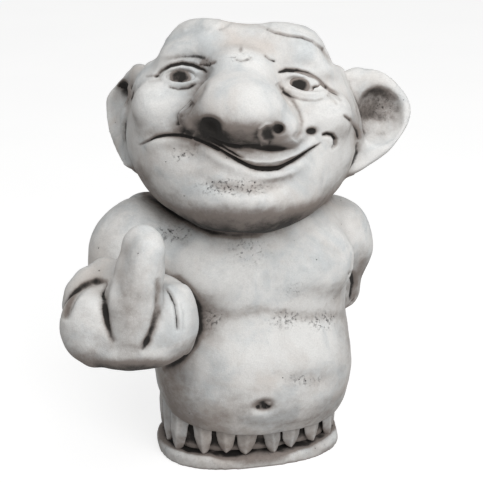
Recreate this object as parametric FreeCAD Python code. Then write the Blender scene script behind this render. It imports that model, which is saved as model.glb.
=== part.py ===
import FreeCAD, Part
import math
import os
from FreeCAD import Matrix, Placement, Rotation, Vector

# A squat garden troll of cast stone on a low oval plinth. Millimetres, +Z up, front towards -Y,
# origin in the middle of the plinth's underside. The figure's own right side is at -X.

# Plinth
plinth_half_width = 55.5
plinth_half_depth = 38.0
plinth_height = 8.0
plinth_edge_round = 3.5

# Hips and the waist that the torso sits on
hip_inset = 7.5
waist_height = 29.0
waist_side_tilt = 4.3
waist_front_tilt = 7.5

# Fringe of leaves round the hips
leaf_count = 20
leaf_half_width = 5.8
leaf_half_depth = 5.0
leaf_tip_gap = 0.8

# Torso
torso_half_width = 59.0
torso_half_depth = 48.0
torso_height = 150.0
torso_side_shift = 2.0
waist_overlap = 13.0
pec_half_width = 29.0
pec_half_depth = 18.0
pec_half_height = 26.0
pec_spread = 25.0
pec_level = 123.0
navel_radius = 3.4
navel_level = 47.0

# Head, in a frame of its own: x to the figure's left, y to the back, z to the crown
head_half_width = 63.0
head_half_depth = 50.0
head_half_height = 56.0
head_level = 200.0
head_side_shift = -6.4
head_forward_shift = 12.0
head_tilt_back = 20.0
head_turn = -12.0
head_lean = 4.0
hair_thickness = 2.6
lock_count = 18
lock_height = 2.6
lock_drift = 0.12
lock_twist = 0.35
cheek_radius = 17.0
chin_radius = 20.0
brow_half_width = 21.0
brow_half_depth = 12.0
brow_half_height = 9.0

# Nose
nose_half_width = 20.5
nose_half_depth = 24.0
nose_half_height = 19.0
nose_wing_radius = 11.0
nostril_radius = 5.0

# Eyes and mouth
eyeball_radius = 9.5
lid_half_width = 13.0
lid_half_height = 9.8
lid_thickness = 1.8
eye_opening = 6.0
eye_spread = 32.0
right_eye_level = 20.5
left_eye_level = 17.5
right_eye_slant = 6.0
left_eye_slant = 14.0
eye_bulge = 2.6
upper_lip_radius = 2.6
lower_lip_radius = 3.6
lip_gap = 0.6

# Ears
ear_length = 39.5
ear_half_height = 31.0
ear_thickness = 12.0
ear_bowl_depth = 8.0
right_ear_level = 2.0
left_ear_level = 6.0
right_ear_sweep = 58.0
left_ear_sweep = 15.0

# Right arm, raised, and left arm, behind the back
right_shoulder_radius = 25.5
right_elbow_radius = 20.5
right_wrist_radius = 19.0
left_shoulder_radius = 23.0
left_elbow_radius = 13.5
left_wrist_radius = 11.0
left_hand_half_width = 15.0
left_hand_half_depth = 8.0
left_hand_half_height = 12.0

# Raised hand
palm_half_width = 35.0
palm_half_depth = 20.0
palm_half_height = 26.5
raised_finger_length = 66.0
raised_finger_root_radius = 13.0
raised_finger_tip_radius = 9.2
folded_finger_half_depth = 12.0
folded_finger_half_height = 20.0
index_half_width = 13.0
ring_half_width = 7.5
thumb_radius = 8.5

# Steel cast into the stone
spine_rod_radius = 4.0
arm_wire_radius = 2.0
ear_pin_radius = 1.5
ear_pin_length = 30.0
rod_cover = 3.0

# Roundness of the level ovals, where 2 is a true ellipse
plinth_squareness = 2.5
body_squareness = 2.2

# One overrun serves every cutting tool, and one tolerance all healing of cut skins
overrun = 300.0
healing_tolerance = 0.01

# Shares of the head's half sizes, from chin to crown:
# level, half width, shift to the back, half depth
head_shares = [
    (-1.00, 0.24, -0.36, 0.26),
    (-0.95, 0.40, -0.32, 0.46),
    (-0.85, 0.60, -0.24, 0.62),
    (-0.70, 0.77, -0.14, 0.78),
    (-0.52, 0.89, -0.06, 0.89),
    (-0.32, 0.97, 0.00, 0.97),
    (-0.10, 1.00, 0.02, 1.00),
    (0.10, 0.98, 0.04, 1.00),
    (0.32, 0.91, 0.06, 0.97),
    (0.52, 0.80, 0.06, 0.94),
    (0.70, 0.715, 0.06, 0.87),
    (0.82, 0.63, 0.06, 0.76),
    (0.90, 0.52, 0.06, 0.60),
    (0.94, 0.38, 0.06, 0.40),
    (0.965, 0.22, 0.06, 0.23),
    (0.98, 0.08, 0.06, 0.08),
]

# Shares of the torso's height and half sizes, from the hips to the neck:
# level, half width, shift to the front, half depth
torso_shares = [
    (0.00, 0.80, 0.00, 0.78),
    (0.09, 0.92, 0.04, 0.90),
    (0.17, 0.975, 0.07, 0.97),
    (0.27, 1.00, 0.09, 1.00),
    (0.37, 0.98, 0.08, 0.98),
    (0.47, 0.94, 0.05, 0.92),
    (0.55, 0.925, 0.02, 0.87),
    (0.63, 0.945, 0.01, 0.88),
    (0.72, 0.965, 0.00, 0.90),
    (0.81, 0.93, -0.01, 0.88),
    (0.89, 0.82, -0.02, 0.78),
    (0.95, 0.64, -0.03, 0.62),
    (0.98, 0.48, -0.04, 0.46),
    (1.00, 0.32, -0.04, 0.30),
]

# Shares of the ear's length and half height, round its outline from the upper root
ear_outline_shares = [
    (-0.20, 0.74),
    (0.10, 0.96),
    (0.46, 1.00),
    (0.78, 0.76),
    (0.98, 0.34),
    (0.92, -0.04),
    (0.72, -0.38),
    (0.44, -0.70),
    (0.14, -0.95),
    (-0.20, -0.86),
]

# Shares of the ear's thickness and of its outline, from its back to its rim
ear_pillow_shares = [(-0.50, 0.66), (-0.30, 0.90), (0.08, 1.00), (0.38, 0.97), (0.50, 0.86)]

# Shares of the head's half sizes along the line between the lips, from the figure's right: side, level
mouth_shares = [
    (-0.78, -0.26),
    (-0.68, -0.21),
    (-0.56, -0.175),
    (-0.42, -0.165),
    (-0.26, -0.24),
    (-0.08, -0.355),
    (0.12, -0.435),
    (0.32, -0.405),
    (0.50, -0.30),
    (0.64, -0.19),
    (0.73, -0.12),
]

# The place in that line at which the lower lip starts
lower_lip_start = 3

# Shares of the lips' full radius at those places
lip_fullness_shares = [0.40, 0.62, 0.74, 0.82, 0.92, 1.00, 1.06, 1.00, 0.84, 0.62, 0.42]

# Shares along each limb: to the side, to the back and up, of the torso's sizes, and of the taper
right_upper_arm_shares = [
    (-1.09, -0.12, 0.885, 0.0),
    (-1.16, -0.16, 0.775, 0.5),
    (-1.19, -0.17, 0.680, 1.0),
]
right_forearm_shares = [
    (-1.19, -0.25, 0.680, 0.0),
    (-1.26, -0.75, 0.715, 0.5),
    (-1.29, -1.20, 0.747, 1.0),
]
left_upper_arm_shares = [
    (0.87, 0.08, 0.850, 0.0),
    (0.98, 0.17, 0.705, 0.6),
    (1.00, 0.27, 0.600, 1.0),
]
left_forearm_shares = [
    (0.97, 0.38, 0.587, 0.0),
    (0.71, 0.76, 0.573, 0.6),
    (0.37, 0.94, 0.587, 1.0),
]

# Shares of the raised finger's place on the palm: of the palm's half width and half depth, of the
# finger's length, and of the taper
raised_finger_shares = [
    (-0.11, -0.90, -0.13, 0.25),
    (-0.08, -1.05, 0.00, 0.0),
    (0.01, -1.12, 0.30, 0.25),
    (0.11, -1.10, 0.54, 0.68),
    (0.17, -1.05, 0.675, 1.0),
]

# Shares of the palm's half sizes at which the folded fingers and the thumb lie
index_share = (-0.60, -0.72, 0.02)
ring_share = (0.49, -0.72, 0.10)
little_share = (0.72, -0.50, 0.03)
thumb_shares = [(-0.76, 0.25, -0.10), (-0.64, 0.46, 0.48), (-0.34, 0.55, 0.84)]

# Shares of a quarter turn at which a limb's round end has its rings
round_end_shares = [0.16, 0.42, 0.70]

# Points of the curve through each oval ring, and over each lock of hair
ring_points = 16
lock_points = 6


def squared(value, squareness):
    """One coordinate of a superellipse of half size 1."""
    return math.copysign(abs(value) ** (2.0 / squareness), value)


def closed_wire(points):
    """A smooth closed wire through the points."""
    curve = Part.BSplineCurve()
    curve.interpolate(Points=points, PeriodicFlag=True)
    return Part.Wire([curve.toShape()])


def oval(centre, half_width, half_depth, squareness):
    """A level oval ring round a centre."""
    points = []
    for index in range(ring_points):
        angle = 2.0 * math.pi * index / ring_points
        x = half_width * squared(math.cos(angle), squareness)
        y = half_depth * squared(math.sin(angle), squareness)
        points.append(centre + Vector(x, y, 0))
    return closed_wire(points)


def smooth_solid(wires):
    """A closed solid with one smooth skin through the rings."""
    return Part.makeLoft(wires, True, False, False)


def lump(centre, radii, turn=None):
    """An ellipsoid round a centre, turned about it."""
    stretch = Matrix()
    stretch.scale(Vector(*radii))
    shape = Part.makeSphere(1).transformGeometry(stretch)
    shape.Placement = Placement(centre, turn or Rotation())
    return shape


def ring(centre, radius, along, seam):
    """A circle square to a direction, which starts and ends on its seam's side."""
    circle = Part.Circle(centre, along, radius)
    start = circle.parameter(centre + seam * radius)
    return Part.Wire([circle.toShape(start, start + 2.0 * math.pi)])


def limb(stations, seam):
    """A round limb through (centre, radius) stations, with rounded ends and its seam on a free side."""
    centres = [centre for centre, radius in stations]
    rings = []
    for index, (centre, radius) in enumerate(stations):
        before = centres[max(index - 1, 0)]
        after = centres[min(index + 1, len(centres) - 1)]
        rings.append((centre, radius, (after - before).normalize()))
    first_centre, first_radius, first_along = rings[0]
    last_centre, last_radius, last_along = rings[-1]
    for share in reversed(round_end_shares):
        reach, size = math.cos(share * math.pi / 2), math.sin(share * math.pi / 2)
        start = first_centre - first_along * (first_radius * reach)
        end = last_centre + last_along * (last_radius * reach)
        rings.insert(0, (start, first_radius * size, first_along))
        rings.append((end, last_radius * size, last_along))
    return smooth_solid([ring(centre, radius, along, seam) for centre, radius, along in rings])


def bar(start, end, radius):
    """A straight round bar between two points."""
    return Part.makeCylinder(radius, (end - start).Length, start, end - start)


def joined(shapes):
    """Several overlapping lumps worked into one."""
    return shapes[0].multiFuse(shapes[1:]).removeSplitter()


def main_solid(shape):
    """The largest solid that a cut leaves, with its skin healed where the cut spoilt it."""
    solid = max(shape.Solids, key=lambda solid: solid.Volume)
    if not solid.isValid():
        solid.fix(healing_tolerance, healing_tolerance / 10, healing_tolerance)
    return solid


def front_of(shape, x, z):
    """The depth at which a line from the front first meets a shape."""
    line = Part.makeLine(Vector(x, -overrun, z), Vector(x, overrun, z))
    return shape.common(line).BoundBox.YMin


# Where the head stands on the figure
head_placement = Placement(
    Vector(head_side_shift, -head_forward_shift, head_level),
    Rotation(Vector(0, 0, 1), head_turn)
    * Rotation(Vector(1, 0, 0), -head_tilt_back)
    * Rotation(Vector(0, 1, 0), head_lean),
)


def on_figure(shape):
    """A shape made in the head's frame, put where the head stands."""
    placed = shape.copy()
    placed.Placement = head_placement.multiply(shape.Placement)
    return placed


waist_turn = Rotation(Vector(0, 1, 0), waist_side_tilt) * Rotation(Vector(1, 0, 0), waist_front_tilt)


def waist_level(x, y):
    """The height of the waist's tilted plane over a point of the ground."""
    normal = waist_turn.multVec(Vector(0, 0, 1))
    return waist_height - (normal.x * x + normal.y * y) / normal.z


def above_waist():
    """A block that fills all the space over the waist's tilted plane."""
    block = Part.makeBox(2 * overrun, 2 * overrun, overrun, Vector(-overrun, -overrun, 0))
    block.Placement = Placement(Vector(0, 0, waist_height), waist_turn)
    return block


def make_plinth():
    """The low oval slab, with its top edge rounded over."""
    outline = oval(Vector(0, 0, 0), plinth_half_width, plinth_half_depth, plinth_squareness)
    slab = Part.Face(outline).extrude(Vector(0, 0, plinth_height))
    top_edge = max(slab.Edges, key=lambda edge: edge.CenterOfMass.z)
    return slab.makeFillet(min(plinth_edge_round, plinth_height / 2), [top_edge])


def hip_outline(level):
    """The ring of the hips at a level."""
    half_width = plinth_half_width - hip_inset
    half_depth = plinth_half_depth - hip_inset
    return oval(Vector(0, 0, level), half_width, half_depth, plinth_squareness)


def make_hips(over_waist):
    """The drum between the plinth and the waist, which the leaves hang over."""
    drum = Part.Face(hip_outline(plinth_height)).extrude(Vector(0, 0, 2 * waist_height))
    return drum.cut(over_waist)


def make_leaves(hips, over_waist):
    """The tongues of the fringe, each one rounded and narrowing downwards."""
    outline = hip_outline(0).Edges[0]
    leaves = []
    for index in range(leaf_count):
        along = outline.Length * (index + 0.5) / leaf_count
        parameter = outline.getParameterByLength(along)
        place = outline.valueAt(parameter)
        run = outline.tangentAt(parameter)
        top = waist_level(place.x, place.y)
        drop = top - plinth_height - leaf_tip_gap
        turn = Rotation(Vector(0, 0, 1), math.degrees(math.atan2(run.y, run.x)))
        centre = Vector(place.x, place.y, top)
        tongue = lump(centre, (leaf_half_width, leaf_half_depth, drop), turn)
        leaves.append(main_solid(tongue.cut(over_waist).cut(hips)))
    return Part.makeCompound(leaves)


def make_torso(over_waist):
    """Belly, chest and neck in one swelling form, with two chest muscles and the navel."""
    base = waist_height - waist_overlap
    wires = []
    for level, width, shift, depth in torso_shares:
        centre = Vector(torso_side_shift, -torso_half_depth * shift, base + torso_height * level)
        half_width, half_depth = torso_half_width * width, torso_half_depth * depth
        wires.append(oval(centre, half_width, half_depth, body_squareness))
    trunk = smooth_solid(wires)
    pecs = []
    for side in (-1, 1):
        x = torso_side_shift + side * pec_spread
        y = front_of(trunk, x, pec_level) + 0.84 * pec_half_depth
        pecs.append(lump(Vector(x, y, pec_level), (pec_half_width, pec_half_depth, pec_half_height)))
    body = joined([trunk] + pecs).common(over_waist)
    navel = Part.makeSphere(navel_radius, Vector(0, front_of(body, 0, navel_level), navel_level))
    return body.cut(navel)


def skull_form():
    """The bare head."""
    wires = []
    for level, width, shift, depth in head_shares:
        centre = Vector(0, head_half_depth * shift, head_half_height * level)
        wires.append(oval(centre, head_half_width * width, head_half_depth * depth, body_squareness))
    return smooth_solid(wires)


def lock_swell(angle, level):
    """How far the locks stand out at a place round the head, from 0 in a parting to 1."""
    drifted = angle + lock_drift * math.sin(3.0 * angle) + lock_twist * level
    return abs(math.cos(0.5 * lock_count * drifted))


def lock_ring(centre, half_width, half_depth, level):
    """A level ring round the hair that swells over each lock, lower where the locks meet on the crown."""
    points = []
    places = lock_count * lock_points
    height = lock_height * min(1.0, 2.0 * half_width / head_half_width)
    for index in range(places):
        angle = 2.0 * math.pi * index / places
        x = half_width * squared(math.cos(angle), body_squareness)
        y = half_depth * squared(math.sin(angle), body_squareness)
        outward = Vector(x, y, 0)
        growth = height * (lock_swell(angle, level) - 0.5) / outward.Length
        points.append(centre + outward * (1.0 + growth))
    curve = Part.BSplineCurve()
    steps = [float(index) for index in range(places + 1)]
    curve.interpolate(Points=points, PeriodicFlag=True, Parameters=steps)
    return Part.Wire([curve.toShape()])


def hair_form():
    """The head grown by the hair's thickness, with locks that run down from the crown."""
    wires = []
    for level, width, shift, depth in head_shares:
        centre = Vector(0, head_half_depth * shift, (head_half_height + hair_thickness) * level)
        half_width = head_half_width * width + hair_thickness
        half_depth = head_half_depth * depth + hair_thickness
        wires.append(lock_ring(centre, half_width, half_depth, level))
    return smooth_solid(wires)


def make_head():
    """Skull with its cheeks, brows and chin worked in."""
    skull = skull_form()
    lumps = []
    for side in (-1, 1):
        x, z = side * 0.67 * head_half_width, 0.09 * head_half_height
        y = front_of(skull, x, z) + 0.58 * cheek_radius
        lumps.append(lump(Vector(x, y, z), (cheek_radius, 0.8 * cheek_radius, 0.92 * cheek_radius)))
        x, z = side * 0.45 * head_half_width, 0.59 * head_half_height
        y = front_of(skull, x, z) + 0.84 * brow_half_depth
        radii = (brow_half_width, brow_half_depth, brow_half_height)
        lumps.append(lump(Vector(x, y, z), radii, Rotation(Vector(0, 1, 0), 10 * side)))
    z = -0.72 * head_half_height
    y = front_of(skull, 0, z) + 0.74 * chin_radius
    lumps.append(lump(Vector(0, y, z), (1.4 * chin_radius, chin_radius, 0.72 * chin_radius)))
    return joined([skull] + lumps)


def make_nose(head):
    """Bulb, bridge and wings of the nose, with the nostrils sunk between bulb and wings."""
    face = front_of(head, 0, 0)
    middle = Vector(0.03 * head_half_width, face, 0.04 * head_half_height)
    bridge_centre = middle + Vector(0, 0.34 * nose_half_depth, 0.85 * nose_half_height)
    lumps = [
        lump(middle, (nose_half_width, nose_half_depth, nose_half_height)),
        lump(bridge_centre, (0.66 * nose_half_width, 0.62 * nose_half_depth, nose_half_height)),
    ]
    for side in (-1, 1):
        x, z = side * 1.02 * nose_half_width, -0.42 * nose_half_height
        radii = (nose_wing_radius, nose_wing_radius, 0.9 * nose_wing_radius)
        lumps.append(lump(middle + Vector(x, 0.12 * nose_half_depth, z), radii))
    nose = joined(lumps)
    for side in (-1, 1):
        x, z = middle.x + side * 0.78 * nose_half_width, middle.z - 0.46 * nose_half_height
        hole = Vector(x, front_of(nose, x, z), z)
        nose = nose.cut(lump(hole, (1.5 * nostril_radius, nostril_radius, nostril_radius)))
    return nose


def eye_centre(head, side, level):
    """The middle of an eyeball, so that it stands out of the face by its bulge."""
    x = side * eye_spread
    return Vector(x, front_of(head, x, level) - eye_bulge + eyeball_radius, level)


def make_eyelids(centre, slant):
    """Both lids of an eye: a swelling over the eyeball, slit open along the eye."""
    depth = eyeball_radius + lid_thickness
    turn = Rotation(Vector(0, 1, 0), slant)
    swelling = lump(centre, (lid_half_width, depth, lid_half_height), turn)
    slit = lump(centre - Vector(0, depth, 0), (0.8 * lid_half_width, depth, eye_opening / 2), turn)
    return swelling.cut(slit)


def make_lip(head, full_radius, side, first):
    """One lip, a tapering roll beside the mouth's line from its given place on; side is 1 for upper."""
    line = [Vector(head_half_width * x, 0, head_half_height * z) for x, z in mouth_shares]
    stations = []
    for index, fullness in list(enumerate(lip_fullness_shares))[first:]:
        run = line[min(index + 1, len(line) - 1)] - line[max(index - 1, 0)]
        upward = Vector(-run.z, 0, run.x).normalize()
        radius = full_radius * fullness
        place = line[index] + upward * (side * (radius + lip_gap / 2))
        place.y = front_of(head, place.x, place.z) + 0.2 * radius
        stations.append((place, radius))
    return limb(stations, Vector(0, -1, 0))


def ear_placement(side, level, sweep):
    """Where an ear's root stands on the head; side is 1 for the figure's left."""
    root = Vector(side * 0.88 * head_half_width, 0.10 * head_half_depth, level)
    return Placement(root, Rotation(Vector(0, 0, 1), side * sweep))


def make_ear(side, level, sweep):
    """A cupped ear with a hollow bowl."""
    wires = []
    for depth_share, size_share in ear_pillow_shares:
        points = []
        for out_share, up_share in ear_outline_shares:
            x = side * ear_length * (0.4 + (out_share - 0.4) * size_share)
            z = ear_half_height * up_share * size_share
            points.append(Vector(x, -ear_thickness * depth_share, z))
        wires.append(closed_wire(points))
    bowl_centre = Vector(side * 0.50 * ear_length, -ear_thickness / 2, 0.16 * ear_half_height)
    bowl = lump(bowl_centre, (0.36 * ear_length, ear_bowl_depth, 0.52 * ear_half_height))
    ear = smooth_solid(wires).cut(bowl)
    ear.Placement = ear_placement(side, level, sweep)
    return ear


def make_ear_pin(side, level, sweep):
    """The pin that runs from the head into the ear's lower half."""
    middle = Vector(0, 0, -0.45 * ear_half_height)
    reach = Vector(ear_pin_length / 2, 0, 0)
    pin = bar(middle - reach, middle + reach, ear_pin_radius)
    pin.Placement = ear_placement(side, level, sweep).multiply(pin.Placement)
    return pin


def make_hair():
    """A close cap of hair, from the crown's front edge down to the nape."""
    front = Vector(0, -0.84 * head_half_depth, 0.76 * head_half_height)
    nape = Vector(0, 0.36 * head_half_depth, -0.55 * head_half_height)
    slope = math.degrees(math.atan2(nape.z - front.z, nape.y - front.y))
    block = Part.makeBox(2 * overrun, 2 * overrun, overrun, Vector(-overrun, -overrun, 0))
    block.Placement = Placement(front, Rotation(Vector(1, 0, 0), slope))
    return hair_form().common(block)


def on_torso(shares):
    """A point given in shares of the torso's half width, half depth and height."""
    side, back, up = shares
    return Vector(torso_half_width * side, torso_half_depth * back, torso_height * up)


def tapering(shares, start_radius, end_radius):
    """A limb's stations from its table of shares, between the radii of its two ends."""
    stations = []
    for side, back, up, taper in shares:
        radius = start_radius + (end_radius - start_radius) * taper
        stations.append((on_torso((side, back, up)), radius))
    return stations


def on_palm(centre, shares):
    """A point given in shares of the palm's half sizes."""
    side, back, up = shares
    return centre + Vector(palm_half_width * side, palm_half_depth * back, palm_half_height * up)


def raised_finger(centre):
    """The stations of the finger that stands up on the palm."""
    stations = []
    for side, back, up, taper in raised_finger_shares:
        place = on_palm(centre, (side, back, 0)) + Vector(0, 0, raised_finger_length * up)
        spread = raised_finger_tip_radius - raised_finger_root_radius
        stations.append((place, raised_finger_root_radius + spread * taper))
    return stations


def make_arm_wire(forearm, finger):
    """The wire that runs through forearm and palm and turns up into the raised finger."""
    start, bend, end = forearm[0][0], finger[1][0], finger[-1][0]
    return joined(
        [
            bar(start, bend, arm_wire_radius),
            Part.makeSphere(arm_wire_radius, bend),
            bar(bend, end, arm_wire_radius),
        ]
    )


def build():
    """Every piece by name, each cut to those of its neighbours that were laid before it."""
    over_waist = above_waist()
    head = make_head()
    right_forearm = tapering(right_forearm_shares, right_elbow_radius, right_wrist_radius)
    left_forearm = tapering(left_forearm_shares, left_elbow_radius, left_wrist_radius)
    wrist = right_forearm[-1][0]
    palm = wrist + Vector(0, -0.4 * palm_half_depth, 0.1 * palm_half_height)
    middle_finger = raised_finger(palm)
    pieces = {}

    def lay(name, shape, *neighbours):
        for neighbour in neighbours:
            shape = shape.cut(pieces[neighbour])
        pieces[name] = main_solid(shape)

    foot = Vector(0, 0, rod_cover)
    lay("spine_rod", bar(foot, Vector(0, 0, head_level), spine_rod_radius))
    lay("arm_wire", make_arm_wire(right_forearm, middle_finger))
    ears = {
        "right_ear": (-1, right_ear_level, right_ear_sweep),
        "left_ear": (1, left_ear_level, left_ear_sweep),
    }
    for name, place in ears.items():
        lay(f"{name}_pin", on_figure(make_ear_pin(*place)))

    lay("plinth", make_plinth(), "spine_rod")
    lay("hips", make_hips(over_waist), "spine_rod")
    pieces["leaves"] = make_leaves(pieces["hips"], over_waist)
    lay("head", on_figure(head), "spine_rod", "right_ear_pin", "left_ear_pin")
    lay("torso", make_torso(over_waist), "spine_rod", "head")

    lay("nose", on_figure(make_nose(head)), "head")
    for name, place in ears.items():
        lay(name, on_figure(make_ear(*place)), "head", f"{name}_pin")
    lay("hair", on_figure(make_hair()), "head", "torso", "right_ear", "left_ear")
    eyes = {
        "right": (-1, right_eye_level, right_eye_slant),
        "left": (1, left_eye_level, left_eye_slant),
    }
    for name, (side, level, slant) in eyes.items():
        centre = eye_centre(head, side, level)
        lay(f"{name}_eyeball", on_figure(Part.makeSphere(eyeball_radius, centre)), "head")
        eyelids = on_figure(make_eyelids(centre, side * slant))
        lay(f"{name}_eyelids", eyelids, "head", f"{name}_eyeball")
    lay("upper_lip", on_figure(make_lip(head, upper_lip_radius, 1, 0)), "head", "nose")
    lay("lower_lip", on_figure(make_lip(head, lower_lip_radius, -1, lower_lip_start)), "head", "nose", "upper_lip")

    outwards, backwards, downwards = Vector(-1, 0, 0), Vector(0, 1, 0), Vector(0, 0, -1)
    upper_arm = tapering(right_upper_arm_shares, right_shoulder_radius, right_elbow_radius)
    lay("right_upper_arm", limb(upper_arm, outwards), "torso", "head", "arm_wire")
    upper_arm = tapering(left_upper_arm_shares, left_shoulder_radius, left_elbow_radius)
    lay("left_upper_arm", limb(upper_arm, -outwards), "torso", "head")
    lay("left_forearm", limb(left_forearm, backwards), "torso", "left_upper_arm")
    hand = left_forearm[-1][0] + Vector(-0.9 * left_hand_half_width, 0, 0)
    radii = (left_hand_half_width, left_hand_half_depth, left_hand_half_height)
    lay("left_hand", lump(hand, radii), "torso", "left_forearm")

    fingers = ("middle_finger", "index_finger", "ring_finger", "little_finger")
    folded = (folded_finger_half_depth, folded_finger_half_height)
    lay("middle_finger", limb(middle_finger, -backwards), "arm_wire")
    half_turn = Rotation(Vector(0, 0, 1), 180)
    index_finger = lump(on_palm(palm, index_share), (index_half_width, *folded), half_turn)
    lay("index_finger", index_finger, "middle_finger")
    ring_finger = lump(on_palm(palm, ring_share), (ring_half_width, *folded))
    lay("ring_finger", ring_finger, "middle_finger")
    little_finger = lump(on_palm(palm, little_share), (ring_half_width, *folded))
    lay("little_finger", little_finger, "ring_finger", "torso")
    palm_lump = lump(palm, (palm_half_width, palm_half_depth, palm_half_height))
    lay("palm", palm_lump, "arm_wire", "torso", *fingers)
    thumb = limb([(on_palm(palm, place), thumb_radius) for place in thumb_shares], backwards)
    lay("thumb", thumb, "palm", "index_finger", "right_upper_arm")
    forearm = limb(right_forearm, downwards)
    lay("right_forearm", forearm, "arm_wire", "palm", "right_upper_arm", "torso", "thumb")
    return pieces


if __name__ == "__main__":
    os.makedirs("parts", exist_ok=True)
    for name, shape in build().items():
        shape.exportStep(f"parts/{name}.step")
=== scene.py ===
"""A cast-stone garden troll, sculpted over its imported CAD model.

Each operator builds one piece or one group of like pieces. Forms are given in millimetres, and the widths
of faces in metres, as Blender takes them. The forms of the head stand in the head's own frame: x to the
figure's left, y to its back and z to its crown. Lines and dabs of a tool are drawn on a sheet that lies
over the picture. There left and right are the picture's, and in the names of pieces the figure's.
"""

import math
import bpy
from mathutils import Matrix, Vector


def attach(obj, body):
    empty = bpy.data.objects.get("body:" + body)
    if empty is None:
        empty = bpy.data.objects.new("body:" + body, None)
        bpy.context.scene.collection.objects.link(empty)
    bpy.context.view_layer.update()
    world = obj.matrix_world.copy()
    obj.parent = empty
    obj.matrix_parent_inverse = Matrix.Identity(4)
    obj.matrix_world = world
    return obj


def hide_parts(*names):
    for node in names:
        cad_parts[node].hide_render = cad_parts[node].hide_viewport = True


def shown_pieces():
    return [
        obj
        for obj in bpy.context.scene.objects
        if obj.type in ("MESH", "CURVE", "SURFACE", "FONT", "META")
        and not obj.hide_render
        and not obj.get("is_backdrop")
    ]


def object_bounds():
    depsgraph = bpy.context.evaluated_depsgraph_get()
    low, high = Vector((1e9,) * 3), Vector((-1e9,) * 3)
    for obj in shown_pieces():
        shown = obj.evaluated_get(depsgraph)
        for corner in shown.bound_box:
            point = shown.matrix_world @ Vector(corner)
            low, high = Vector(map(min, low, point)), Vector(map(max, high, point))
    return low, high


bl_info = {
    "name": "Garden troll",
    "version": (1, 0),
    "blender": (4, 5, 0),
    "location": "View3D > Sidebar > Garden troll",
    "description": "Builds the visible pieces of a cast-stone garden troll",
    "category": "Object",
}

import bpy
import numpy as np
from mathutils import Matrix, Vector
from mathutils.bvhtree import BVHTree
from mathutils.noise import noise

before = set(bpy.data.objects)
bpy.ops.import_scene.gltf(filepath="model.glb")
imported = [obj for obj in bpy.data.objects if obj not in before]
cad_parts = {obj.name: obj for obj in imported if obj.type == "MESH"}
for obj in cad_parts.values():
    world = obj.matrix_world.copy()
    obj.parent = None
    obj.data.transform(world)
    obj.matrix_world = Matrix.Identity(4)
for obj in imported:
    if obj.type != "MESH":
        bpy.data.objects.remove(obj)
CAD_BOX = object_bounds()

MM = 0.001
PHOTO_PIXELS = 483
SENSOR_WIDTH = 36.0
MERGE_DISTANCE = 0.00001
MOST_TRIANGLES = 190000
BODY = "root"
STEEL_NODES = ("spine_rod", "arm_wire", "right_ear_pin", "left_ear_pin")
# The camera's turn to the figure's right and its height over level, in degrees
VIEW_TURN, VIEW_RISE = -12.0, 20.0


def placed(centre, *turns):
    """A frame at a centre in millimetres, turned round its axes by degrees, one turn after the other."""
    place = Matrix.Translation(centre)
    for axis, angle in turns:
        place = place @ Matrix.Rotation(math.radians(angle), 4, axis)
    return place


# Where the head stands on the figure, as in the CAD model
HEAD_PLACE = placed((-6.4, -12.0, 200.0), ("Z", -12.0), ("X", -20.0), ("Y", 4.0))
# A frame turned like the camera's view, for clay that is placed by what it sees
VIEW_PLACE = placed((0, 0, 0), ("Z", VIEW_TURN), ("X", -VIEW_RISE))


def colour_setting(name, description, default):
    """A colour that the user can change."""
    return bpy.props.FloatVectorProperty(name=name, description=description, subtype="COLOR", default=default)


def length_setting(name, description, default):
    """A length that the user can change, in metres."""
    return bpy.props.FloatProperty(name=name, description=description, subtype="DISTANCE", default=default)


class TrollStone(bpy.types.PropertyGroup):
    """Colours and grain of the cast stone"""

    pale: colour_setting("Pale stone", "Colour of the washed, open faces", (0.72, 0.715, 0.70))
    cool: colour_setting("Cool stone", "Colour of the cooler patches", (0.58, 0.60, 0.605))
    warm: colour_setting("Warm stone", "Colour of the warmer patches", (0.60, 0.56, 0.525))
    # The colour of painted shade and grime on sheltered undersides
    shade_and_grime: colour_setting("Shade_and_grime", "Colour of sheltered undersides", (0.20, 0.165, 0.145))
    # The colour of painted shade deep in the creases and in the pores
    black: colour_setting("Crease black", "Colour deep in the creases", (0.012, 0.011, 0.010))
    patch_size: length_setting("Patch size", "Width of the cloudy patches", 0.026)
    grain_size: length_setting("Grain size", "Width of a grain of sand", 0.0007)
    pore_spacing: length_setting("Pore spacing", "Distance between air-bubble pores", 0.0042)
    roughness: bpy.props.FloatProperty(
        name="Roughness",
        description="Roughness of the dry stone",
        subtype="FACTOR",
        min=0,
        max=1,
        default=0.86,
    )


class TrollSculpt(bpy.types.PropertyGroup):
    """How finely each piece is worked"""

    head_voxel: length_setting("Head detail", "Width of the head's faces", 0.0009)
    body_voxel: length_setting("Body detail", "Width of the torso's faces", 0.001029)
    hand_voxel: length_setting("Hand detail", "Width of the hand's faces", 0.0007)
    base_voxel: length_setting("Base detail", "Width of the plinth's faces", 0.0011)
    # The rays and the reach of the painted sky shade
    rays: bpy.props.IntProperty(
        name="Shelter rays", description="Half the rays per point that find shelter", min=4, default=10
    )
    reach: length_setting("Shelter reach", "How far off a form still shelters another", 0.024)


class TrollStage(bpy.types.PropertyGroup):
    """The photograph's camera and light"""

    azimuth: bpy.props.FloatProperty(
        name="Azimuth",
        description="Camera's turn to the figure's right",
        subtype="ANGLE",
        default=math.radians(VIEW_TURN),
    )
    elevation: bpy.props.FloatProperty(
        name="Elevation",
        description="Camera's height over level",
        subtype="ANGLE",
        default=math.radians(VIEW_RISE),
    )
    distance: length_setting("Distance", "Camera to the figure", 0.7)
    lens: bpy.props.FloatProperty(name="Lens", description="Focal length in millimetres", default=90.26)
    aim: bpy.props.FloatVectorProperty(
        name="Aim",
        description="Point in the picture's middle",
        subtype="TRANSLATION",
        default=(-0.004, 0, 0.128),
    )
    key_power: bpy.props.FloatProperty(
        name="Key power", description="Power of the overhead softbox in watts", default=12.2
    )
    sky: bpy.props.FloatProperty(name="Sky", description="Strength of the even light all round", default=0.39)


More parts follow.
